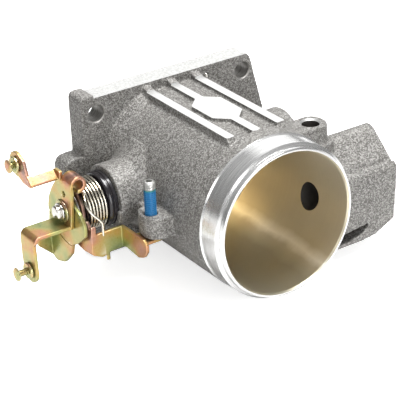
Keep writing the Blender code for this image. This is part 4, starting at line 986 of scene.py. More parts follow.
@dataclass
class Housing:
    """The cast and machined housing, built the way it is made: cast first, machined after."""

    bore_radius: float = 35.0
    inlet_radius: float = 36.0
    length: float = 110.0
    throat_setback: float = 47.0
    body_radius: float = 40.2
    collar_radius: float = 39.6
    collar_length: float = 14.5
    lip_radius: float = 38.0
    flange_thickness: float = 12.0
    bolt_x: float = 44.0
    bolt_z: float = 35.0
    bolt_hole_radius: float = 4.4
    flange_top: float = 43.5
    flange_left: float = 52.5
    flange_right: float = 57.0
    flange_bump: float = 1.6
    rib_pitch: float = 14.5
    rib_width: float = 4.7
    rib_top: float = 40.2
    rib_front: float = 88.0
    left_boss_radius: float = 16.5
    left_boss_reach: float = 53.5
    right_boss_radius: float = 17.0
    right_boss_reach: float = 55.0
    screw_side: float = 47.0
    screw_setback: float = 63.4
    screw_lug_radius: float = 8.7
    idle_reach: float = 83.0
    idle_front: float = 90.0
    idle_back: float = 48.0
    idle_crease: float = -1.8
    idle_ridge: float = 16.5
    idle_roof_run: float = 20.5
    idle_bottom: float = -38.0
    allowance: float = 0.8
    voxel: float = 0.5
    rounds: int = 4
    keep: float = 0.4

    def body(self) -> Form:
        """The cast barrel with its flats between the ribs and its flare into the flange."""
        flare = self.flange_thickness
        profile = [
            (0.0, self.length + self.allowance), (self.body_radius, self.length + self.allowance),
            (self.body_radius, flare + 9.0), (self.body_radius + 0.8, flare + 5.0),
            (self.body_radius + 1.9, flare + 2.0), (self.body_radius + 3.0, flare - 1.0), (0.0, flare - 1.0),
        ]
        half = self.rib_pitch + self.rib_width / 2
        flat = Form.block((-half, -self.rib_front + 2.0, self.rib_top - 2.0),
                          (half, -flare, self.flange_top + 4.0))
        return Form.lathe(profile, Axis.FRONT.at(), 160).minus(flat)

    def flange(self) -> Form:
        """The manifold flange with its cast corner above the machined strip, and its lug."""
        top = self.flange_top + self.allowance
        bump = self.flange_top + self.flange_bump
        left, right = -self.flange_left, self.flange_right
        outline = rounded([
            (left, bump, 6.0), (left + 6.5, bump, 2.5), (left + 9.0, top, 1.5), (self.bolt_x + 4.6, top, 6.0),
            (right, 10.0, 8.0), (right, -10.0, 8.0), (self.bolt_x + 4.6, -self.flange_top, 6.0),
            (left, -self.flange_top, 8.0),
        ])
        slab = Form.plate(outline, -self.allowance, self.flange_thickness, Axis.FRONT.at())
        lug = rounded([(left + 4.0, 14.0, 0.0), (left + 4.0, 2.0, 0.0), (-63.8, 2.0, 6.0),
                       (-63.8, 14.0, 6.0)])
        return slab + Form.plate(lug, 0.6, 11.4, Axis.FRONT.at())

    def ribs(self) -> Form:
        """The three ribs and the blank badge, a little high so that they can be milled level."""
        top = self.rib_top + self.allowance
        root = self.body_radius - 5.0
        flange = -self.flange_thickness
        side = [
            Vector((-self.rib_front - 0.4, root)), Vector((-self.rib_front + 3.0, top)),
            Vector((flange - 4.0, top)),
            Vector((flange + 1.0, self.rib_top + 2.2)), Vector((flange + 1.0, root)),
        ]
        half = self.rib_width / 2
        made = Form.plate(side, -half, half, Axis.RIGHT.at())
        for shift in (-self.rib_pitch, self.rib_pitch):
            made = made + Form.plate(side, -half, half, Axis.RIGHT.at(shift))
        long, wide, cut = 15.0, 8.8, 6.0
        badge = rounded([
            (cut - wide, long, 0.5), (-wide, long - cut, 0.8), (-wide, cut - long, 0.8),
            (cut - wide, -long, 0.5),
            (wide - cut, -long, 0.5), (wide, cut - long, 0.8), (wide, long - cut, 0.8),
            (wide - cut, long, 0.5),
        ])
        return made + Form.plate(badge, top - 4.5, top, Axis.UP.at(0.0, -53.0, 0.0))

    def bosses(self) -> Form:
        """Both shaft bosses, the crescent round the spring cup, the stop screw's lug and its ledge."""
        reach = self.left_boss_reach
        radius = self.left_boss_radius
        left = Form.lathe([
            (0.0, reach), (radius - 0.4, reach), (radius, reach - 0.4), (radius, 43.8),
            (radius + 1.2, 40.8), (radius + 4.2, 37.0), (radius + 7.8, 33.0), (0.0, 29.0),
        ], Axis.LEFT.at(0.0, SHAFT_Y, 0.0), 96)
        right = Form.rod(self.right_boss_radius, 29.0, self.right_boss_reach + self.allowance, on_shaft(), 96)
        crescent = arc((0.0, 0.0), 16.9, 186.0, 272.0, 24) + arc((0.0, 0.0), 14.1, 272.0, 186.0, 24)
        guard = Form.plate(crescent, 0.0, 2.5, Axis.RIGHT.at(-reach - 1.5, SHAFT_Y, 0.0))
        setback, lug = self.screw_setback, self.screw_lug_radius
        outer = -self.screw_side - lug * 0.6
        ear = rounded([(-34.0, -setback - lug, 0.0), (-34.0, -setback + lug, 0.0),
                       (outer, -setback + lug, lug), (outer, -setback - lug, lug)], 14)
        ear_form = Form.plate(ear, -9.0, 2.0, Axis.UP.at())
        ledge = rounded([(-32.0, SHAFT_Y - 6.0, 0.0), (-32.0, -setback + 2.0, 0.0),
                         (-44.5, -setback + 2.0, 4.0), (-44.5, SHAFT_Y - 6.0, 0.0)])
        return left + right + guard + ear_form + Form.plate(ledge, -4.0, 0.4, Axis.UP.at())

    def idle_casting(self) -> Form:
        """The idle valve casting with its rounded roof, the parting groove and the open pocket."""
        inner, reach, bottom = 32.2, self.idle_reach, self.idle_bottom
        outline = rounded([
            (inner, self.idle_ridge, 0.0), (inner, bottom + 6.0, 0.0), (inner + 14.0, bottom - 0.4, 5.0),
            (reach - 20.0, bottom, 3.0), (reach - 12.8, bottom + 0.9, 2.0), (reach - 0.9, bottom + 6.6, 1.0),
            (reach + self.allowance, self.idle_crease, 1.0), (reach + self.allowance, self.idle_ridge, 1.0),
        ])
        block = Form.plate(outline, self.idle_back, self.idle_front, Axis.FRONT.at())
        ridge = -self.idle_front + self.idle_roof_run
        slope = (self.idle_ridge - self.idle_crease) / self.idle_roof_run
        back = 6.0 - self.idle_back
        above = rounded([
            (-self.idle_front - 6.0, self.idle_crease - 6.0 * slope, 0.0), (ridge, self.idle_ridge, 7.5),
            (back, self.idle_ridge - (back - ridge) * slope, 0.0), (back, 40.0, 0.0),
            (-self.idle_front - 6.0, 40.0, 0.0),
        ], 14)
        roof = Form.plate(above, inner - 1.0, reach + 2.0, Axis.RIGHT.at())
        radius = self.body_radius
        pocket = rounded([
            (radius - 1.0, bottom + 5.6, 0.0), (radius + 9.8, bottom + 7.0, 0.0),
            (radius + 26.8, bottom + 9.0, 1.2),
            (radius + 21.5, bottom + 4.4, 3.0), (radius + 13.5, bottom + 1.8, 3.0),
            (radius - 1.0, bottom + 1.6, 0.0),
        ])
        hollow = Form.plate(pocket, self.idle_front - 15.0, self.idle_front + 1.0, Axis.FRONT.at())
        groove_z = self.idle_crease + 2.5
        groove_y = -self.idle_front + 2.5 / slope
        groove = [Vector((groove_y - 1.6, groove_z - 0.9)), Vector((groove_y + 0.9, groove_z - 1.0)),
                  Vector((groove_y + 1.6, groove_z + 2.6)), Vector((groove_y - 1.4, groove_z + 2.6))]
        line = Form.plate(groove, inner + 4.0, reach - 4.5, Axis.RIGHT.at())
        return block.minus(roof, hollow, line)

    def passages(self) -> Form:
        """The tunnel to the flange and the upright hose boss."""
        tunnel = rounded([(30.2, -9.8, 0.0), (30.2, -26.2, 0.0), (54.2, -26.2, 5.0), (54.2, -9.8, 5.0)])
        hose = rounded([(28.2, -75.8, 0.0), (53.3, -75.8, 7.8), (53.3, -60.2, 7.8), (28.2, -60.2, 0.0)], 14)
        root = rounded([(28.2, -78.2, 0.0), (56.0, -78.2, 9.0), (56.0, -57.8, 9.0), (28.2, -57.8, 0.0)], 14)
        return (Form.plate(tunnel, self.flange_thickness - 1.0, self.idle_back + 1.0, Axis.FRONT.at())
                + Form.plate(hose, -7.8, 24.5, Axis.UP.at()) + Form.plate(root, -7.8, 15.0, Axis.UP.at()))

    def casting(self) -> Form:
        """The whole casting as it leaves the mould."""
        parts = (self.body() + self.flange() + self.ribs() + self.bosses() + self.idle_casting()
                 + self.passages())
        return parts.fused(self.voxel, self.rounds, self.keep)

    def turning(self) -> list[Form]:
        """The cuts that turn the collar and the lip, and bore the body through."""
        front = self.length
        collar = front - self.collar_length
        outside = [
            (self.body_radius + 0.6, collar - 1.4), (self.collar_radius, collar),
            (self.collar_radius, front - 3.8),
            (self.collar_radius - 0.3, front - 3.5), (self.lip_radius + 0.3, front - 2.9),
            (self.lip_radius, front - 2.6),
            (self.lip_radius, front - 0.9), (self.lip_radius - 0.25, front - 0.25),
            (self.lip_radius - 0.9, front),
            (34.0, front), (34.0, front + 4.0), (48.0, front + 4.0), (48.0, collar - 1.4),
        ]
        bore = [
            (0.0, front + 1.0), (self.inlet_radius + 1.1, front + 1.0),
            (self.inlet_radius + 0.5, front - 0.2),
            (self.inlet_radius, front - 1.0), (self.inlet_radius, front - 6.0),
            (self.bore_radius + 0.15, self.throat_setback + 2.0), (self.bore_radius, self.throat_setback),
            (self.bore_radius, -1.0), (0.0, -1.0),
        ]
        return [Form.lathe(outside, Axis.FRONT.at(), 200, True, Face.TURNED),
                Form.lathe(bore, Axis.FRONT.at(), 200, face=Face.BORE)]

    def milling(self) -> list[Form]:
        """The flat cuts: rib tops, flange strip, manifold face, boss faces and the valve pad."""
        top, strip = self.rib_top, self.flange_top
        back = -self.flange_thickness
        return [
            Form.block((-24.0, -93.0, top), (24.0, back - 4.0, top + 9.0), Face.MACHINED),
            Form.block((-44.9, back - 1.2, strip), (70.0, 2.0, strip + 9.0), Face.SKIMMED),
            Form.block((-80.0, 0.0, -60.0), (80.0, 4.0, 60.0), Face.MACHINED),
            Form.rod(14.3, self.left_boss_reach, 70.0, on_shaft(Axis.LEFT), 96, face=Face.MACHINED),
            Form.rod(20.0, self.right_boss_reach, 70.0, on_shaft(), 96, face=Face.MACHINED),
            Form.block((self.idle_reach, -100.0, -50.0), (self.idle_reach + 6.0, -40.0, 40.0)),
            Form.block((self.idle_reach - 1.2, 2.0 - self.idle_front, -50.0),
                       (self.idle_reach + 6.0, -40.0, 40.0), Face.MACHINED),
        ]

    def drilling(self) -> list[Form]:
        """Every round hole, each with its chamfer."""
        tools: list[Form] = []
        hole = self.bolt_hole_radius
        deep = self.flange_thickness
        for side in (-self.bolt_x, self.bolt_x):
            for height in (-self.bolt_z, self.bolt_z):
                profile = [(0.0, -1.0), (hole + 1.5, -1.0), (hole, 0.5), (hole, deep - 0.5),
                           (hole + 1.5, deep + 1.0), (0.0, deep + 1.0)]
                tools.append(Form.lathe(profile, Axis.FRONT.at(side, 0.0, height), 48, face=Face.DRILLED))
        shaft = [(0.0, 56.0), (11.2, 56.0), (10.0, 54.7), (10.0, 48.0), (8.0, 48.0), (8.0, 39.6), (5.1, 39.6),
                 (5.1, -45.1), (8.0, -45.1), (8.0, -54.5), (0.0, -54.5)]
        tools.append(Form.lathe(shaft, on_shaft(), 64, face=Face.MACHINED))
        for sign in (-1.0, 1.0):
            turn = math.radians(20.0)
            place = Axis.RIGHT.at(0.0, SHAFT_Y + sign * 13.5 * math.cos(turn), sign * 13.5 * math.sin(turn))
            tools.append(Form.rod(1.9, 46.0, 56.0, place, 32, face=Face.DRILLED))
        reach = self.idle_reach + 1.0
        tools += [
            Form.lathe([(0.0, reach - 4.2), (4.6, reach - 4.2), (8.4, reach), (0.0, reach)],
                       Axis.RIGHT.at(0.0, -81.0, -7.7), 64, face=Face.MACHINED),
            Form.lathe([(0.0, 27.0), (7.0, 27.0), (7.0, reach - 1.0), (0.0, reach - 1.0)],
                       Axis.RIGHT.at(0.0, -81.0, -7.7), 64, face=Face.PASSAGE),
            Form.lathe([(0.0, reach - 4.2), (3.1, reach - 4.2), (6.9, reach), (0.0, reach)],
                       Axis.RIGHT.at(0.0, -60.0, -18.0), 64, face=Face.MACHINED),
            Form.lathe([(0.0, 46.0), (5.5, 46.0), (5.5, reach - 1.0), (0.0, reach - 1.0)],
                       Axis.RIGHT.at(0.0, -60.0, -18.0), 64, face=Face.PASSAGE),
            Form.rod(5.5, -1.0, 65.5, Axis.FRONT.at(46.0, 0.0, -18.0), 64, face=Face.PASSAGE),
            Form.lathe([(0.0, 21.4), (2.4, 21.4), (6.4, 25.6), (0.0, 25.6)], Axis.UP.at(45.5, -68.0, 0.0),
                       64, face=Face.MACHINED),
            Form.lathe([(0.0, 8.5), (4.5, 8.5), (4.5, 25.0), (0.0, 25.0)], Axis.UP.at(45.5, -68.0, 0.0), 64,
                       face=Face.PASSAGE),
            Form.lathe([(0.0, -10.0), (3.3, -10.0), (3.3, 1.4), (4.5, 3.0), (0.0, 3.0)],
                       Axis.UP.at(-self.screw_side, -self.screw_setback, 0.0), 48, face=Face.DRILLED),
            Form.rod(1.7, deep - 4.0, deep + 1.0, Axis.FRONT.at(21.9, 0.0, 38.0), 32, face=Face.MACHINED),
        ]
        for setback, height in ((80.0, -24.0), (62.0, 3.0)):
            tools.append(Form.rod(2.5, self.idle_reach - 14.0, reach, Axis.RIGHT.at(0.0, -setback, height),
                                  32, face=Face.DRILLED))
        return tools

    def build(self, paint: Paintbox) -> None:
        """Casts and machines the housing, and closes the drilled passage with its ball."""
        skin = self.casting().minus(*self.milling(), *self.turning(), *self.drilling())
        skin.piece("housing_casting", Body.HOUSING, "cast_aluminium",
                   (paint.cast, paint.milled, paint.bore, paint.passage, paint.drilled, paint.turned,
                    paint.skimmed),
                   ("throttle_housing",), 30.0)
        ball = [(1.4 * math.sin(math.radians(a)), 1.4 * math.cos(math.radians(a))) for a in range(12, 180,
                                                                                                  12)]
        place = Axis.FRONT.at(21.9, -12.0 + 0.84, 38.0)
        Form.lathe([(0.0, 1.4), *ball, (0.0, -1.4)], place, 32).piece(
            "passage_ball", Body.HOUSING, "bright_steel", (paint.steel,), ("passage_ball_plug",))


# ------------------------------------------------------------------ shaft, bearings and plate

@dataclass
class ShaftGroup:
    """The shaft with its bearings, seals, plate and plate screws, and the retainers at the sensor end."""

    radius: float = 4.8
    groove: float = 49.4
    tang_end: float = 54.0
    shoulder: float = 77.4
    stake: float = 78.7
    left_end: float = 81.8
    plate_radius: float = 34.7
    plate_thickness: float = 2.4
    screw_spacing: float = 34.0

    def shaft(self) -> Form:
        """The shaft with its slot, flats, groove and the staked stub."""
        radius, shoulder, groove = self.radius, self.shoulder, self.groove
        profile = [
            (0.0, self.tang_end), (radius - 0.5, self.tang_end), (radius, self.tang_end - 0.5),
            (radius, groove + 1.4), (radius - 0.9, groove + 1.4), (radius - 0.9, groove), (radius, groove),
            (radius, -shoulder), (3.4, -shoulder), (3.4, -self.stake), (4.0, -self.stake),
            (4.4, -self.stake - 0.3),
            (4.3, -self.stake - 0.75), (3.9, -self.stake - 0.9), (3.4, -self.stake - 0.9),
            (3.4, 0.5 - self.left_end), (2.9, -self.left_end), (0.0, -self.left_end),
        ]
        made = Form.lathe(profile, on_shaft(), 64)
        slot = self.plate_thickness / 2 + 0.3
        tools = [Form.block((-35.3, SHAFT_Y - slot, -6.0), (35.3, SHAFT_Y + slot, 6.0))]
        for sign in (-1.0, 1.0):
            low, high = sorted((sign * 3.6, sign * 6.0))
            tools.append(Form.block((-shoulder - 1.0, SHAFT_Y - 6.0, low), (-67.9, SHAFT_Y + 6.0, high)))
            low, high = sorted((sign * 2.7, sign * 6.0))
            tools.append(Form.block((-self.left_end - 1.0, SHAFT_Y + low, -6.0),
                                    (-79.9, SHAFT_Y + high, 6.0)))
            low, high = sorted((sign * 2.52, sign * 6.0))
            tools.append(Form.block((groove + 2.4, SHAFT_Y + low, -6.0),
                                    (self.tang_end + 1.0, SHAFT_Y + high, 6.0)))
            stepped = [(0.0, 6.0), (4.0, 6.0), (4.0, 4.0), (2.3, 4.0), (2.3, -6.0), (0.0, -6.0)]
            tools.append(Form.lathe(stepped, Axis.FRONT.at(sign * self.screw_spacing / 2, SHAFT_Y, 0.0), 32))
        return made.minus(*tools).eased(0.12, 1)

    def plate(self) -> Form:
        """The butterfly plate with eased edges."""
        holes = [circle((sign * self.screw_spacing / 2, 0.0), 2.3, 32) for sign in (-1.0, 1.0)]
        half = self.plate_thickness / 2
        return Form.plate(circle((0.0, 0.0), self.plate_radius, 160), -half, half, on_shaft(Axis.FRONT),
                          holes).eased(0.15, 2)

    def plate_screw(self, side: float) -> Form:
        """One round-headed screw with a driver slot."""
        profile = [(0.0, 5.9), (1.4, 5.88), (2.6, 5.66), (3.4, 5.2), (3.7, 4.7), (3.7, 4.3), (2.0, 4.3),
                   (2.0, -4.4), (0.0, -4.4)]
        made = Form.lathe(profile, Axis.FRONT.at(side, SHAFT_Y, 0.0), 40)
        front = SHAFT_Y - 5.9
        return made.minus(Form.block((side - 5.0, front - 1.0, -0.4), (side + 5.0, front + 0.8, 0.4)))

    def build(self, paint: Paintbox) -> None:
        """Builds and dresses the shaft's pieces."""
        self.shaft().piece("shaft_turned", Body.THROTTLE, "bright_steel", (paint.steel,), ("throttle_shaft",))
        self.plate().piece("butterfly_plate", Body.THROTTLE, "brass", (paint.brass,), ("throttle_plate",))
        for number, sign in enumerate((-1.0, 1.0), start=1):
            self.plate_screw(sign * self.screw_spacing / 2).piece(
                f"butterfly_screw_{number}", Body.THROTTLE, "bright_steel", (paint.steel,),
                (f"plate_screw_{number}",))
        for side, floor, direction in (("left", 45.1, Axis.LEFT), ("right", 39.6, Axis.RIGHT)):
            line = on_shaft(direction)
            Form.ring(5.1, 7.7, floor + 0.3, floor + 4.5, line).piece(
                f"{side}_bearing_shell", Body.HOUSING, "bright_steel", (paint.steel,),
                (f"{side}_shaft_bearing",))
            start = floor + 4.8
            lips = [(5.1, start), (7.7, start), (7.7, start + 3.0), (7.2, start + 3.0), (7.0, start + 2.2),
                    (6.0, start + 2.2), (5.6, start + 3.0), (5.1, start + 2.6)]
            Form.lathe(lips, line, 64, True).piece(
                f"{side}_lip_seal", Body.HOUSING, "seal_rubber", (paint.rubber,), (f"{side}_shaft_seal",))
        Form.ring(5.1, 8.5, 48.3, 48.9, on_shaft()).piece(
            "thrust_washer", Body.THROTTLE, "bright_steel", (paint.steel,), ("shaft_thrust_washer",))
        clip = arc((0.0, 0.0), 7.6, -60.0, 240.0, 48) + arc((0.0, 0.0), 4.2, 240.0, -60.0, 48)
        Form.plate(clip, -0.4, 0.4, Axis.RIGHT.at(self.groove + 0.7, SHAFT_Y, 0.0)).eased(0.1, 1).piece(
            "retaining_clip", Body.THROTTLE, "bright_steel", (paint.steel,), ("shaft_retaining_clip",))


# ------------------------------------------------------------------ return spring

@dataclass
class SpringGroup:
    """The black cup and the torsion spring that sits on its sleeve."""

    cup_face: float = 53.8
    cup_radius: float = 14.0
    cup_length: float = 5.0
    sleeve_radius: float = 11.7
    sleeve_end: float = 69.6
    wire_radius: float = 0.6
    coil_radius: float = 12.6
    turns: int = 6
    pitch: float = 1.7

    def cup(self) -> Form:
        """The cup with a rolled rim and a groove, and its sleeve."""
        rim = self.cup_face + self.cup_length
        outer = self.cup_radius
        return Form.lathe([
            (self.sleeve_radius - 0.3, self.sleeve_end), (self.sleeve_radius, self.sleeve_end - 0.3),
            (self.sleeve_radius, rim), (outer - 1.4, rim), (outer - 0.5, rim - 0.25),
            (outer - 0.08, rim - 0.9),
            (outer, rim - 1.5), (outer, rim - 2.0), (outer - 0.4, rim - 2.3), (outer - 0.4, rim - 2.9),
            (outer, rim - 3.2),
            (outer, self.cup_face + 0.4), (outer - 0.4, self.cup_face), (5.4, self.cup_face),
            (5.1, self.cup_face + 0.3), (5.1, self.sleeve_end - 0.3), (5.4, self.sleeve_end),
        ], on_shaft(Axis.LEFT), 96, True)

    def wire(self) -> Form:
        """The spring's wire: its tail, its close turns and the leg that reaches the stop lever."""
        start = self.cup_face + self.cup_length + self.wire_radius + 0.3
        first = math.radians(250.0)
        sweep = math.radians(155.0) + math.tau * (self.turns - 1)

        def spot(depth: float, along: float, height: float) -> Vector:
            """A point from its distance left of the bore, along and up from the shaft."""
            return Vector((-depth, SHAFT_Y + along, height))

        count = round(sweep / math.tau * 56)
        coil = [spot(start, self.coil_radius * math.cos(first) - 4.0,
                     self.coil_radius * math.sin(first) + 1.5)]
        for step in range(count + 1):
            turn = sweep * step / count
            depth = start + self.pitch * turn / math.tau
            coil.append(spot(depth, self.coil_radius * math.cos(first - turn),
                             self.coil_radius * math.sin(first - turn)))
        end = 69.9
        front = -17.6
        leg = [spot(end - 1.0, -4.0, 12.0), spot(end - 0.3, -7.5, 10.4), spot(end + 1.0, -11.0, 8.8),
               spot(end + 1.6, -13.6, 6.4), spot(end + 0.8, -16.3, 3.0), spot(end - 3.2, front, -1.9),
               spot(end - 4.2, front, -4.2), spot(end - 4.2, front, -10.2)]
        return Form.wire(coil[:-1] + curved([coil[-1], *leg], 6), self.wire_radius)

    def build(self, paint: Paintbox) -> None:
        """Builds the cup and the spring; the spring is attached to neither body."""
        self.cup().piece("spring_cup", Body.HOUSING, "black_plastic", (paint.plastic,), ("spring_seat_cup",))
        spring = self.wire().piece("torsion_spring", Body.HOUSING, "bright_steel", (paint.spring,),
                                   ("return_spring",), ride=False)
        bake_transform(spring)


# ------------------------------------------------------------------ levers

@dataclass
class LeverGroup:
    """The three pressed levers on the shaft's left end, with their studs and washers."""

    sheet: float = 1.8
    stop_depth: float = 69.9
    cam_depth: float = 73.5
    lever_depth: float = 75.6
    voxel: float = 0.26
    rounds: int = 4
    keep: float = 0.35

    def shaft_hole(self) -> list[Vector]:
        """The hole with two flats that seats a lever on the shaft."""
        angle = math.degrees(math.asin(3.9 / 5.1))
        return arc((0.0, 0.0), 5.1, -angle, angle, 14) + arc((0.0, 0.0), 5.1, 180.0 - angle, 180.0 + angle,
                                                             14)

    def pressed(self, form: Form) -> Form:
        """The form as one pressing with rounded bends and blanked edges."""
        return form.fused(self.voxel, self.rounds, self.keep)

    def stop_lever(self) -> Form:
        """The inner lever: its web, the side plate and the tab under the stop screw."""
        t = self.sheet
        front, top, low = -15.4, -9.6, -21.0
        outline = arc((0.0, 0.0), 9.6, 160.0, -60.0, 24) + rounded([
            (1.0, -19.4, 2.0), (-8.0, -20.6, 2.0), (front - t / 2, low + 1.2, 2.0), (front - t / 2, top, 1.0),
            (-11.5, -2.0, 2.0),
        ])
        middle = self.stop_depth + t / 2
        flat = Form.plate(outline, -t / 2, t / 2, across_shaft(middle), [self.shaft_hole()])
        side = 54.6
        screw_y = -63.4 - SHAFT_Y
        y = SHAFT_Y + front
        web = Form.plate(rounded([
            (-middle - t / 2, top, 0.6), (-side, top + 0.4, 0.6), (-side, low, 1.0),
            (-side - 6.0, low + 0.2, 3.0),
            (-side - 11.0, low - 1.8, 2.5), (-middle - t / 2, low + 1.0, 2.0),
        ]), -t / 2, t / 2, Axis.FRONT.at(0.0, y, 0.0))
        tab_top = -10.3
        cheek = Form.plate(rounded([
            (front + t / 2, top + 0.4, 0.6), (screw_y - 4.0, tab_top + 1.6, 1.0),
            (screw_y - 6.6, tab_top - 0.6, 1.2),
            (screw_y - 6.8, tab_top - 4.0, 3.0), (screw_y - 4.0, tab_top - 8.0, 3.0),
            (screw_y + 1.0, tab_top - 10.1, 3.0), (front - 4.5, low + 1.6, 3.0), (front + t / 2, low, 0.6),
        ]), -t / 2, t / 2, across_shaft(side - t / 2))
        tab = Form.plate(rounded([
            (-side, -67.9, 0.5), (-43.4, -67.9, 2.0), (-43.4, -58.4, 2.0), (-side, -55.4, 0.5),
        ]), tab_top - t, tab_top, Axis.UP.at())
        catch = Form.block((-middle - t / 2 + 0.2, y - 0.8, top - 3.0), (-middle + 2.0, y + 0.45, top + 4.6))
        foot = Form.block((-63.4, y - 0.6, low - 4.3), (-61.6, y + 0.6, low + 3.0))
        return self.pressed(flat + web + cheek + tab + catch + foot)

    def cable_cam(self) -> Form:
        """The middle plate with its lobes, its lip and the pressed ring round the shaft."""
        t = self.sheet
        outline = rounded([
            (-7.0, 4.5, 3.0), (-12.5, 2.0, 4.0), (-16.6, -3.2, 5.0), (-16.2, -9.0, 3.0), (-9.0, -15.2, 2.0),
            (-3.2, -18.6, 1.5), (-1.6, -24.0, 3.0), (5.8, -31.8, 6.0), (16.0, -35.0, 6.0), (22.0, -28.0, 5.0),
            (18.5, -8.0, 4.0), (11.0, 6.0, 4.0), (2.0, 10.0, 5.0),
        ])
        cam = Form.plate(outline, -t / 2, t / 2, across_shaft(self.cam_depth + t / 2), [self.shaft_hole()])
        edge = -self.cam_depth - t
        lip = Form.plate(rounded([
            (edge + 0.5, -18.0, 0.0), (-self.cam_depth - 10.0, -19.5, 1.5),
            (-self.cam_depth - 9.5, -25.5, 1.5), (edge + 0.5, -33.0, 0.0),
        ]), -t / 2, t / 2, Axis.FRONT.at(0.0, SHAFT_Y + 18.6, 0.0))
        groove = Form.ring(18.6, 19.5, self.cam_depth + t - 0.28, self.cam_depth + t + 0.5,
                           on_shaft(Axis.LEFT), 0.1, 96)
        return self.pressed(cam + lip).minus(groove)

    def lower_arm(self) -> Form:
        """The lower arm: a level strip bent down into a leg with a round end."""
        t = self.sheet
        end, level, bend, shift = -(self.lever_depth + 21.0), -7.3, 2.6, 0.6
        path = [Vector((-(self.lever_depth + t * 0.3), level)), Vector((end + bend, level))]
        path += arc((end + bend, level - bend), bend, 90.0, 180.0, 12)[1:]
        path.append(Vector((end, level - 27.0)))
        strip = Form.plate(band(path, t), -7.0, 7.0, Axis.FRONT.at(0.0, SHAFT_Y + shift, 0.0))
        keep = [Vector((shift - 8.0, 0.0)), Vector((shift - 8.0, level - 0.9)),
                Vector((shift - 5.6, level - 4.0))]
        keep += arc((shift, level - 19.0), 6.4, 180.0, 360.0, 28)
        keep += [Vector((shift + 8.0, level - 8.0)), Vector((shift + 8.0, 0.0))]
        return strip.meet(Form.plate(keep, -16.0, 16.0, across_shaft(self.lever_depth + 10.5)))

    def upper_arm(self) -> Form:
        """The upper arm: a slanted strip that turns up into the ear with the stud."""
        t = self.sheet
        edge = Vector((1.6, 16.6))
        across = Vector((0.74, 0.67)) * 5.4
        inward = Vector((0.67, -0.74)) * t
        start, end = self.lever_depth + t * 0.3, self.lever_depth + 16.6
        strip = Form.plate([edge, edge + across, edge + across + inward, edge + inward], 0.15 - end, -start,
                           across_shaft())
        stud = (15.6, 23.4)
        ear = [edge + inward * 1.1, Vector((10.0, 15.4))] + arc(stud, 6.5, -100.0, 105.0, 28)
        ear += [Vector((8.5, 27.2)), edge + across * 1.1 + inward * 0.1, edge - across * 0.04 + inward * 0.1]
        return strip + Form.plate(ear, -end, t - end, across_shaft())

    def throttle_lever(self) -> Form:
        """The outer lever with both arms and the curled tab."""
        t, depth = self.sheet, self.lever_depth
        outline = rounded([
            (-6.8, -8.2, 1.0), (8.0, -8.2, 1.0), (15.4, -5.0, 3.0), (14.0, 2.0, 5.0), (9.8, 9.0, 5.0),
            (5.6, 14.0, 1.0),
            (6.0, 20.6, 0.6), (0.4, 20.6, 1.0), (0.0, 16.0, 0.4), (-9.6, 16.0, 0.0), (-9.6, 11.0, 2.0),
            (-8.4, 2.0, 3.0),
        ])
        flat = Form.plate(outline, -t / 2, t / 2, across_shaft(depth + t / 2),
                          [self.shaft_hole(), circle((-2.4, 10.0), 1.5, 24)])
        curl_at = (-depth - t + 4.5, 16.0)
        curl = arc(curl_at, 4.4, 195.0, -100.0, 44) + arc(curl_at, 4.4 - t, -100.0, 195.0, 44)
        tab = Form.plate(curl, 0.6, 9.8, on_shaft(Axis.FRONT))
        made = self.pressed(flat + self.lower_arm() + self.upper_arm() + tab)
        low = Form.rod(2.2, -4.0, 4.0, Axis.RIGHT.at(-depth - 21.0, SHAFT_Y + 0.6, -26.3), 32)
        high = Form.rod(2.2, -4.0, 4.0, Axis.RIGHT.at(-depth - 16.6, SHAFT_Y + 15.6, 23.4), 32)
        return made.minus(low, high)

    def stud(self, depth: float, along: float, height: float, neck: float) -> Form:
        """A riveted cable stud with its tail, collar, waisted neck and domed head."""
        near, face = depth - self.sheet - 0.3, depth + 0.3
        collar = face + 1.4
        head = collar + neck
        end = head + 1.3
        profile = [
            (0.0, end), (1.8, end - 0.02), (2.7, end - 0.14), (3.3, end - 0.42), (3.5, end - 0.8),
            (3.4, head + 0.1),
            (3.2, head), (2.0, head), (1.7, head - 0.3), (1.7, collar + 0.3), (2.0, collar), (3.9, collar),
            (4.25, collar - 0.35), (4.3, face + 0.3), (4.1, face), (1.9, face), (1.9, near), (2.8, near),
            (2.95, near - 0.3), (2.5, near - 0.85), (1.8, near - 1.0), (0.0, near - 1.0),
        ]
        return Form.lathe(profile, Axis.LEFT.at(0.0, SHAFT_Y + along, height), 56)

    def build(self, paint: Paintbox) -> None:
        """Builds and dresses the levers."""
        zinc = "yellow_zinc"
        self.stop_lever().piece("stop_lever_pressing", Body.THROTTLE, zinc, (paint.web_zinc,),
                                ("stop_lever",), 60.0)
        self.cable_cam().piece("cable_cam_pressing", Body.THROTTLE, zinc, (paint.cam_zinc,), ("cable_cam",),
                               60.0)
        self.throttle_lever().piece("throttle_lever_pressing", Body.THROTTLE, zinc, (paint.lever_zinc,),
                                    ("throttle_lever",), 60.0)
        low = self.stud(self.lever_depth + 21.9, 0.6, -26.3, 5.0)
        low.piece("lower_stud_turned", Body.THROTTLE, zinc, (paint.stud_zinc,), ("lower_cable_stud",))
        high = self.stud(self.lever_depth + 16.6, 15.6, 23.4, 2.0)
        high.piece("upper_stud_turned", Body.THROTTLE, zinc, (paint.stud_zinc,), ("upper_cable_stud",))
        start = self.stop_depth + self.sheet + 0.3
        Form.ring(5.1, 8.0, start, start + 1.2, on_shaft(Axis.LEFT), 0.15).piece(
            "lever_spacer", Body.THROTTLE, "bright_steel", (paint.steel,), ("inner_lever_spacer",))
        washer = [(4.9, 78.4), (5.5, 78.25), (5.85, 77.95), (5.9, 77.75), (3.7, 77.75), (3.7, 78.4)]
        Form.lathe(washer, on_shaft(Axis.LEFT), 64, True).piece(
            "staked_washer", Body.THROTTLE, zinc, (paint.stud_zinc,), ("lever_washer",))


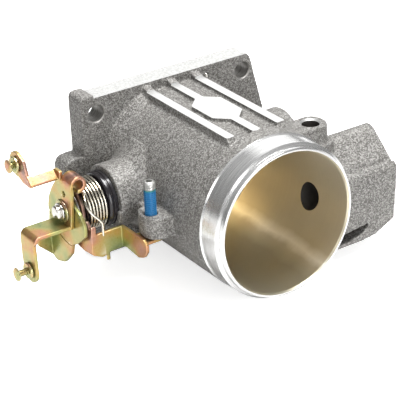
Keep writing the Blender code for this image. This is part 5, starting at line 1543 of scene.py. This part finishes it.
# ------------------------------------------------------------------ stop screw

@dataclass
class StopScrew:
    """The socket set screw that stops the lever at idle."""

    side: float = -47.0
    y: float = -63.4
    radius: float = 3.0
    tip: float = -10.0
    top: float = 19.0
    pitch: float = 1.0
    depth: float = 0.5
    sides: int = 40
    rows_each: int = 8

    def threaded(self) -> Form:
        """The screw with a true helical thread and chamfered ends."""
        work = bmesh.new()
        rows: list[list[bmesh.types.BMVert]] = []
        count = round((self.top - self.tip) / self.pitch * self.rows_each)
        for row in range(count + 1):
            z = self.tip + (self.top - self.tip) * row / count
            ring: list[bmesh.types.BMVert] = []
            for side in range(self.sides):
                turn = math.tau * side / self.sides
                phase = (z / self.pitch - side / self.sides) % 1.0
                thread = self.depth * abs(2.0 * phase - 1.0)
                limit = self.radius - max(0.0, 0.9 - (z - self.tip)) - max(0.0, 0.7 - (self.top - z))
                radius = min(self.radius - thread, limit)
                ring.append(work.verts.new((self.side + radius * math.cos(turn),
                                            self.y + radius * math.sin(turn), z)))
            rows.append(ring)
        for lower, upper in zip(rows, rows[1:]):
            for side in range(self.sides):
                follow = (side + 1) % self.sides
                work.faces.new([lower[side], lower[follow], upper[follow], upper[side]])
        work.faces.new(rows[0][::-1])
        work.faces.new(rows[-1])
        return Form.of_bmesh(work)

    def build(self, paint: Paintbox) -> None:
        """Builds the screw with its hexagon socket."""
        hexagon = circle((0.0, 0.0), 1.7, 6)
        socket = Form.plate(hexagon, self.top - 3.5, self.top + 1.0, Axis.UP.at(self.side, self.y, 0.0))
        self.threaded().minus(socket).piece("stop_screw_threaded", Body.HOUSING, "screw_steel",
                                            (paint.screw,), ("idle_stop_screw",), 50.0)


# ------------------------------------------------------------------ studio

@dataclass
class Studio:
    """The camera, the pale floor and the soft light."""

    lens: float = 147.5
    camera_place: tuple[float, float, float] = (-405.4, -658.7, 361.5)
    right: tuple[float, float, float] = (0.8274, -0.5604, -0.0378)
    up: tuple[float, float, float] = (0.2826, 0.3572, 0.8903)
    back: tuple[float, float, float] = (-0.4854, -0.7473, 0.4539)
    floor_z: float = -45.0

    def camera(self) -> None:
        """Stands the camera."""
        data = bpy.data.cameras.new("camera")
        data.lens = self.lens
        data.sensor_width = 36.0
        data.clip_start = 0.01
        data.clip_end = 20.0
        made = bpy.data.objects.new("camera", data)
        bpy.context.scene.collection.objects.link(made)
        turn = Matrix((self.right, self.up, self.back)).transposed().to_4x4()
        made.matrix_world = Matrix.Translation([part * MM for part in self.camera_place]) @ turn
        bpy.context.scene.camera = made

    def floor(self) -> None:
        """Lays the pale floor."""
        work = bmesh.new()
        bmesh.ops.create_grid(work, x_segments=8, y_segments=8, size=4.0)
        mesh = bpy.data.meshes.new("floor")
        work.to_mesh(mesh)
        work.free()
        made = bpy.data.objects.new("floor", mesh)
        made.location = (0.0, 0.0, self.floor_z * MM)
        bpy.context.scene.collection.objects.link(made)
        pale, graph, shader = Finish("pale_floor", 0.0, 0.9).start()
        shader.inputs["Base Color"].default_value = (0.80, 0.80, 0.80, 1.0)
        shader.inputs["Emission Color"].default_value = (0.70, 0.70, 0.70, 1.0)
        seen = graph.add("ShaderNodeLightPath").outputs["Is Camera Ray"]
        graph.tree.links.new(seen, shader.inputs["Emission Strength"])
        mesh.materials.append(pale)

    def lamp(self, name: str, place: Sequence[float], aim: Sequence[float], size: float,
             power: float) -> None:
        """Hangs one soft lamp.

        Args:
            name: The lamp's name.
            place: Where it hangs, in metres.
            aim: What it points at.
            size: Its side length in metres.
            power: Its power in watts.
        """
        data = bpy.data.lights.new(name, "AREA")
        data.shape = "SQUARE"
        data.size = size
        data.energy = power
        made = bpy.data.objects.new(name, data)
        made.location = place
        made.rotation_mode = "QUATERNION"
        made.rotation_quaternion = (Vector(aim) - Vector(place)).to_track_quat("-Z", "Y")
        bpy.context.scene.collection.objects.link(made)

    def sky(self) -> None:
        """Surrounds the scene with a soft room that is bright above and dimmer at the sides."""
        world = bpy.data.worlds.new("studio")
        bpy.context.scene.world = world
        world.use_nodes = True
        graph = Graph(world.node_tree)
        way = graph.add("ShaderNodeTexCoord").outputs["Generated"]
        height = graph.add("ShaderNodeSeparateXYZ", {0: way}).outputs[2]
        tone = graph.ramp(graph.maths("ADD", graph.maths("MULTIPLY", height, 0.5), 0.5), [
            (0.0, (0.30, 0.28, 0.26)), (0.48, (0.12, 0.115, 0.11)), (0.64, (0.38, 0.38, 0.38)),
            (1.0, (1.0, 1.0, 1.0)),
        ])
        back = world.node_tree.nodes["Background"]
        world.node_tree.links.new(tone, back.inputs["Color"])
        back.inputs["Strength"].default_value = 0.5

    def build(self) -> None:
        """Sets up the studio."""
        bpy.context.scene.view_settings.view_transform = "Standard"
        self.camera()
        self.floor()
        self.sky()
        centre = (0.0, -0.05, 0.0)
        self.lamp("overhead", (0.1, -0.1, 0.9), centre, 0.5, 17.0)
        self.lamp("behind_right", (0.7, 1.1, 0.65), centre, 1.0, 3.6)
        self.lamp("front_left", (-0.9, -0.7, 0.5), centre, 0.4, 2.0)
        self.lamp("into_bore", (-0.1, -1.2, 0.3), centre, 0.7, 9.0)


def main() -> None:
    """Loads the frame, sets up the studio and builds each sub-assembly."""
    logging.basicConfig(level=logging.INFO, format="%(name)s: %(message)s")
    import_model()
    Studio().build()
    paint = Paintbox()
    for part in (Housing(), ShaftGroup(), SpringGroup(), LeverGroup(), StopScrew()):
        part.build(paint)


if __name__ == "__main__":
    main()
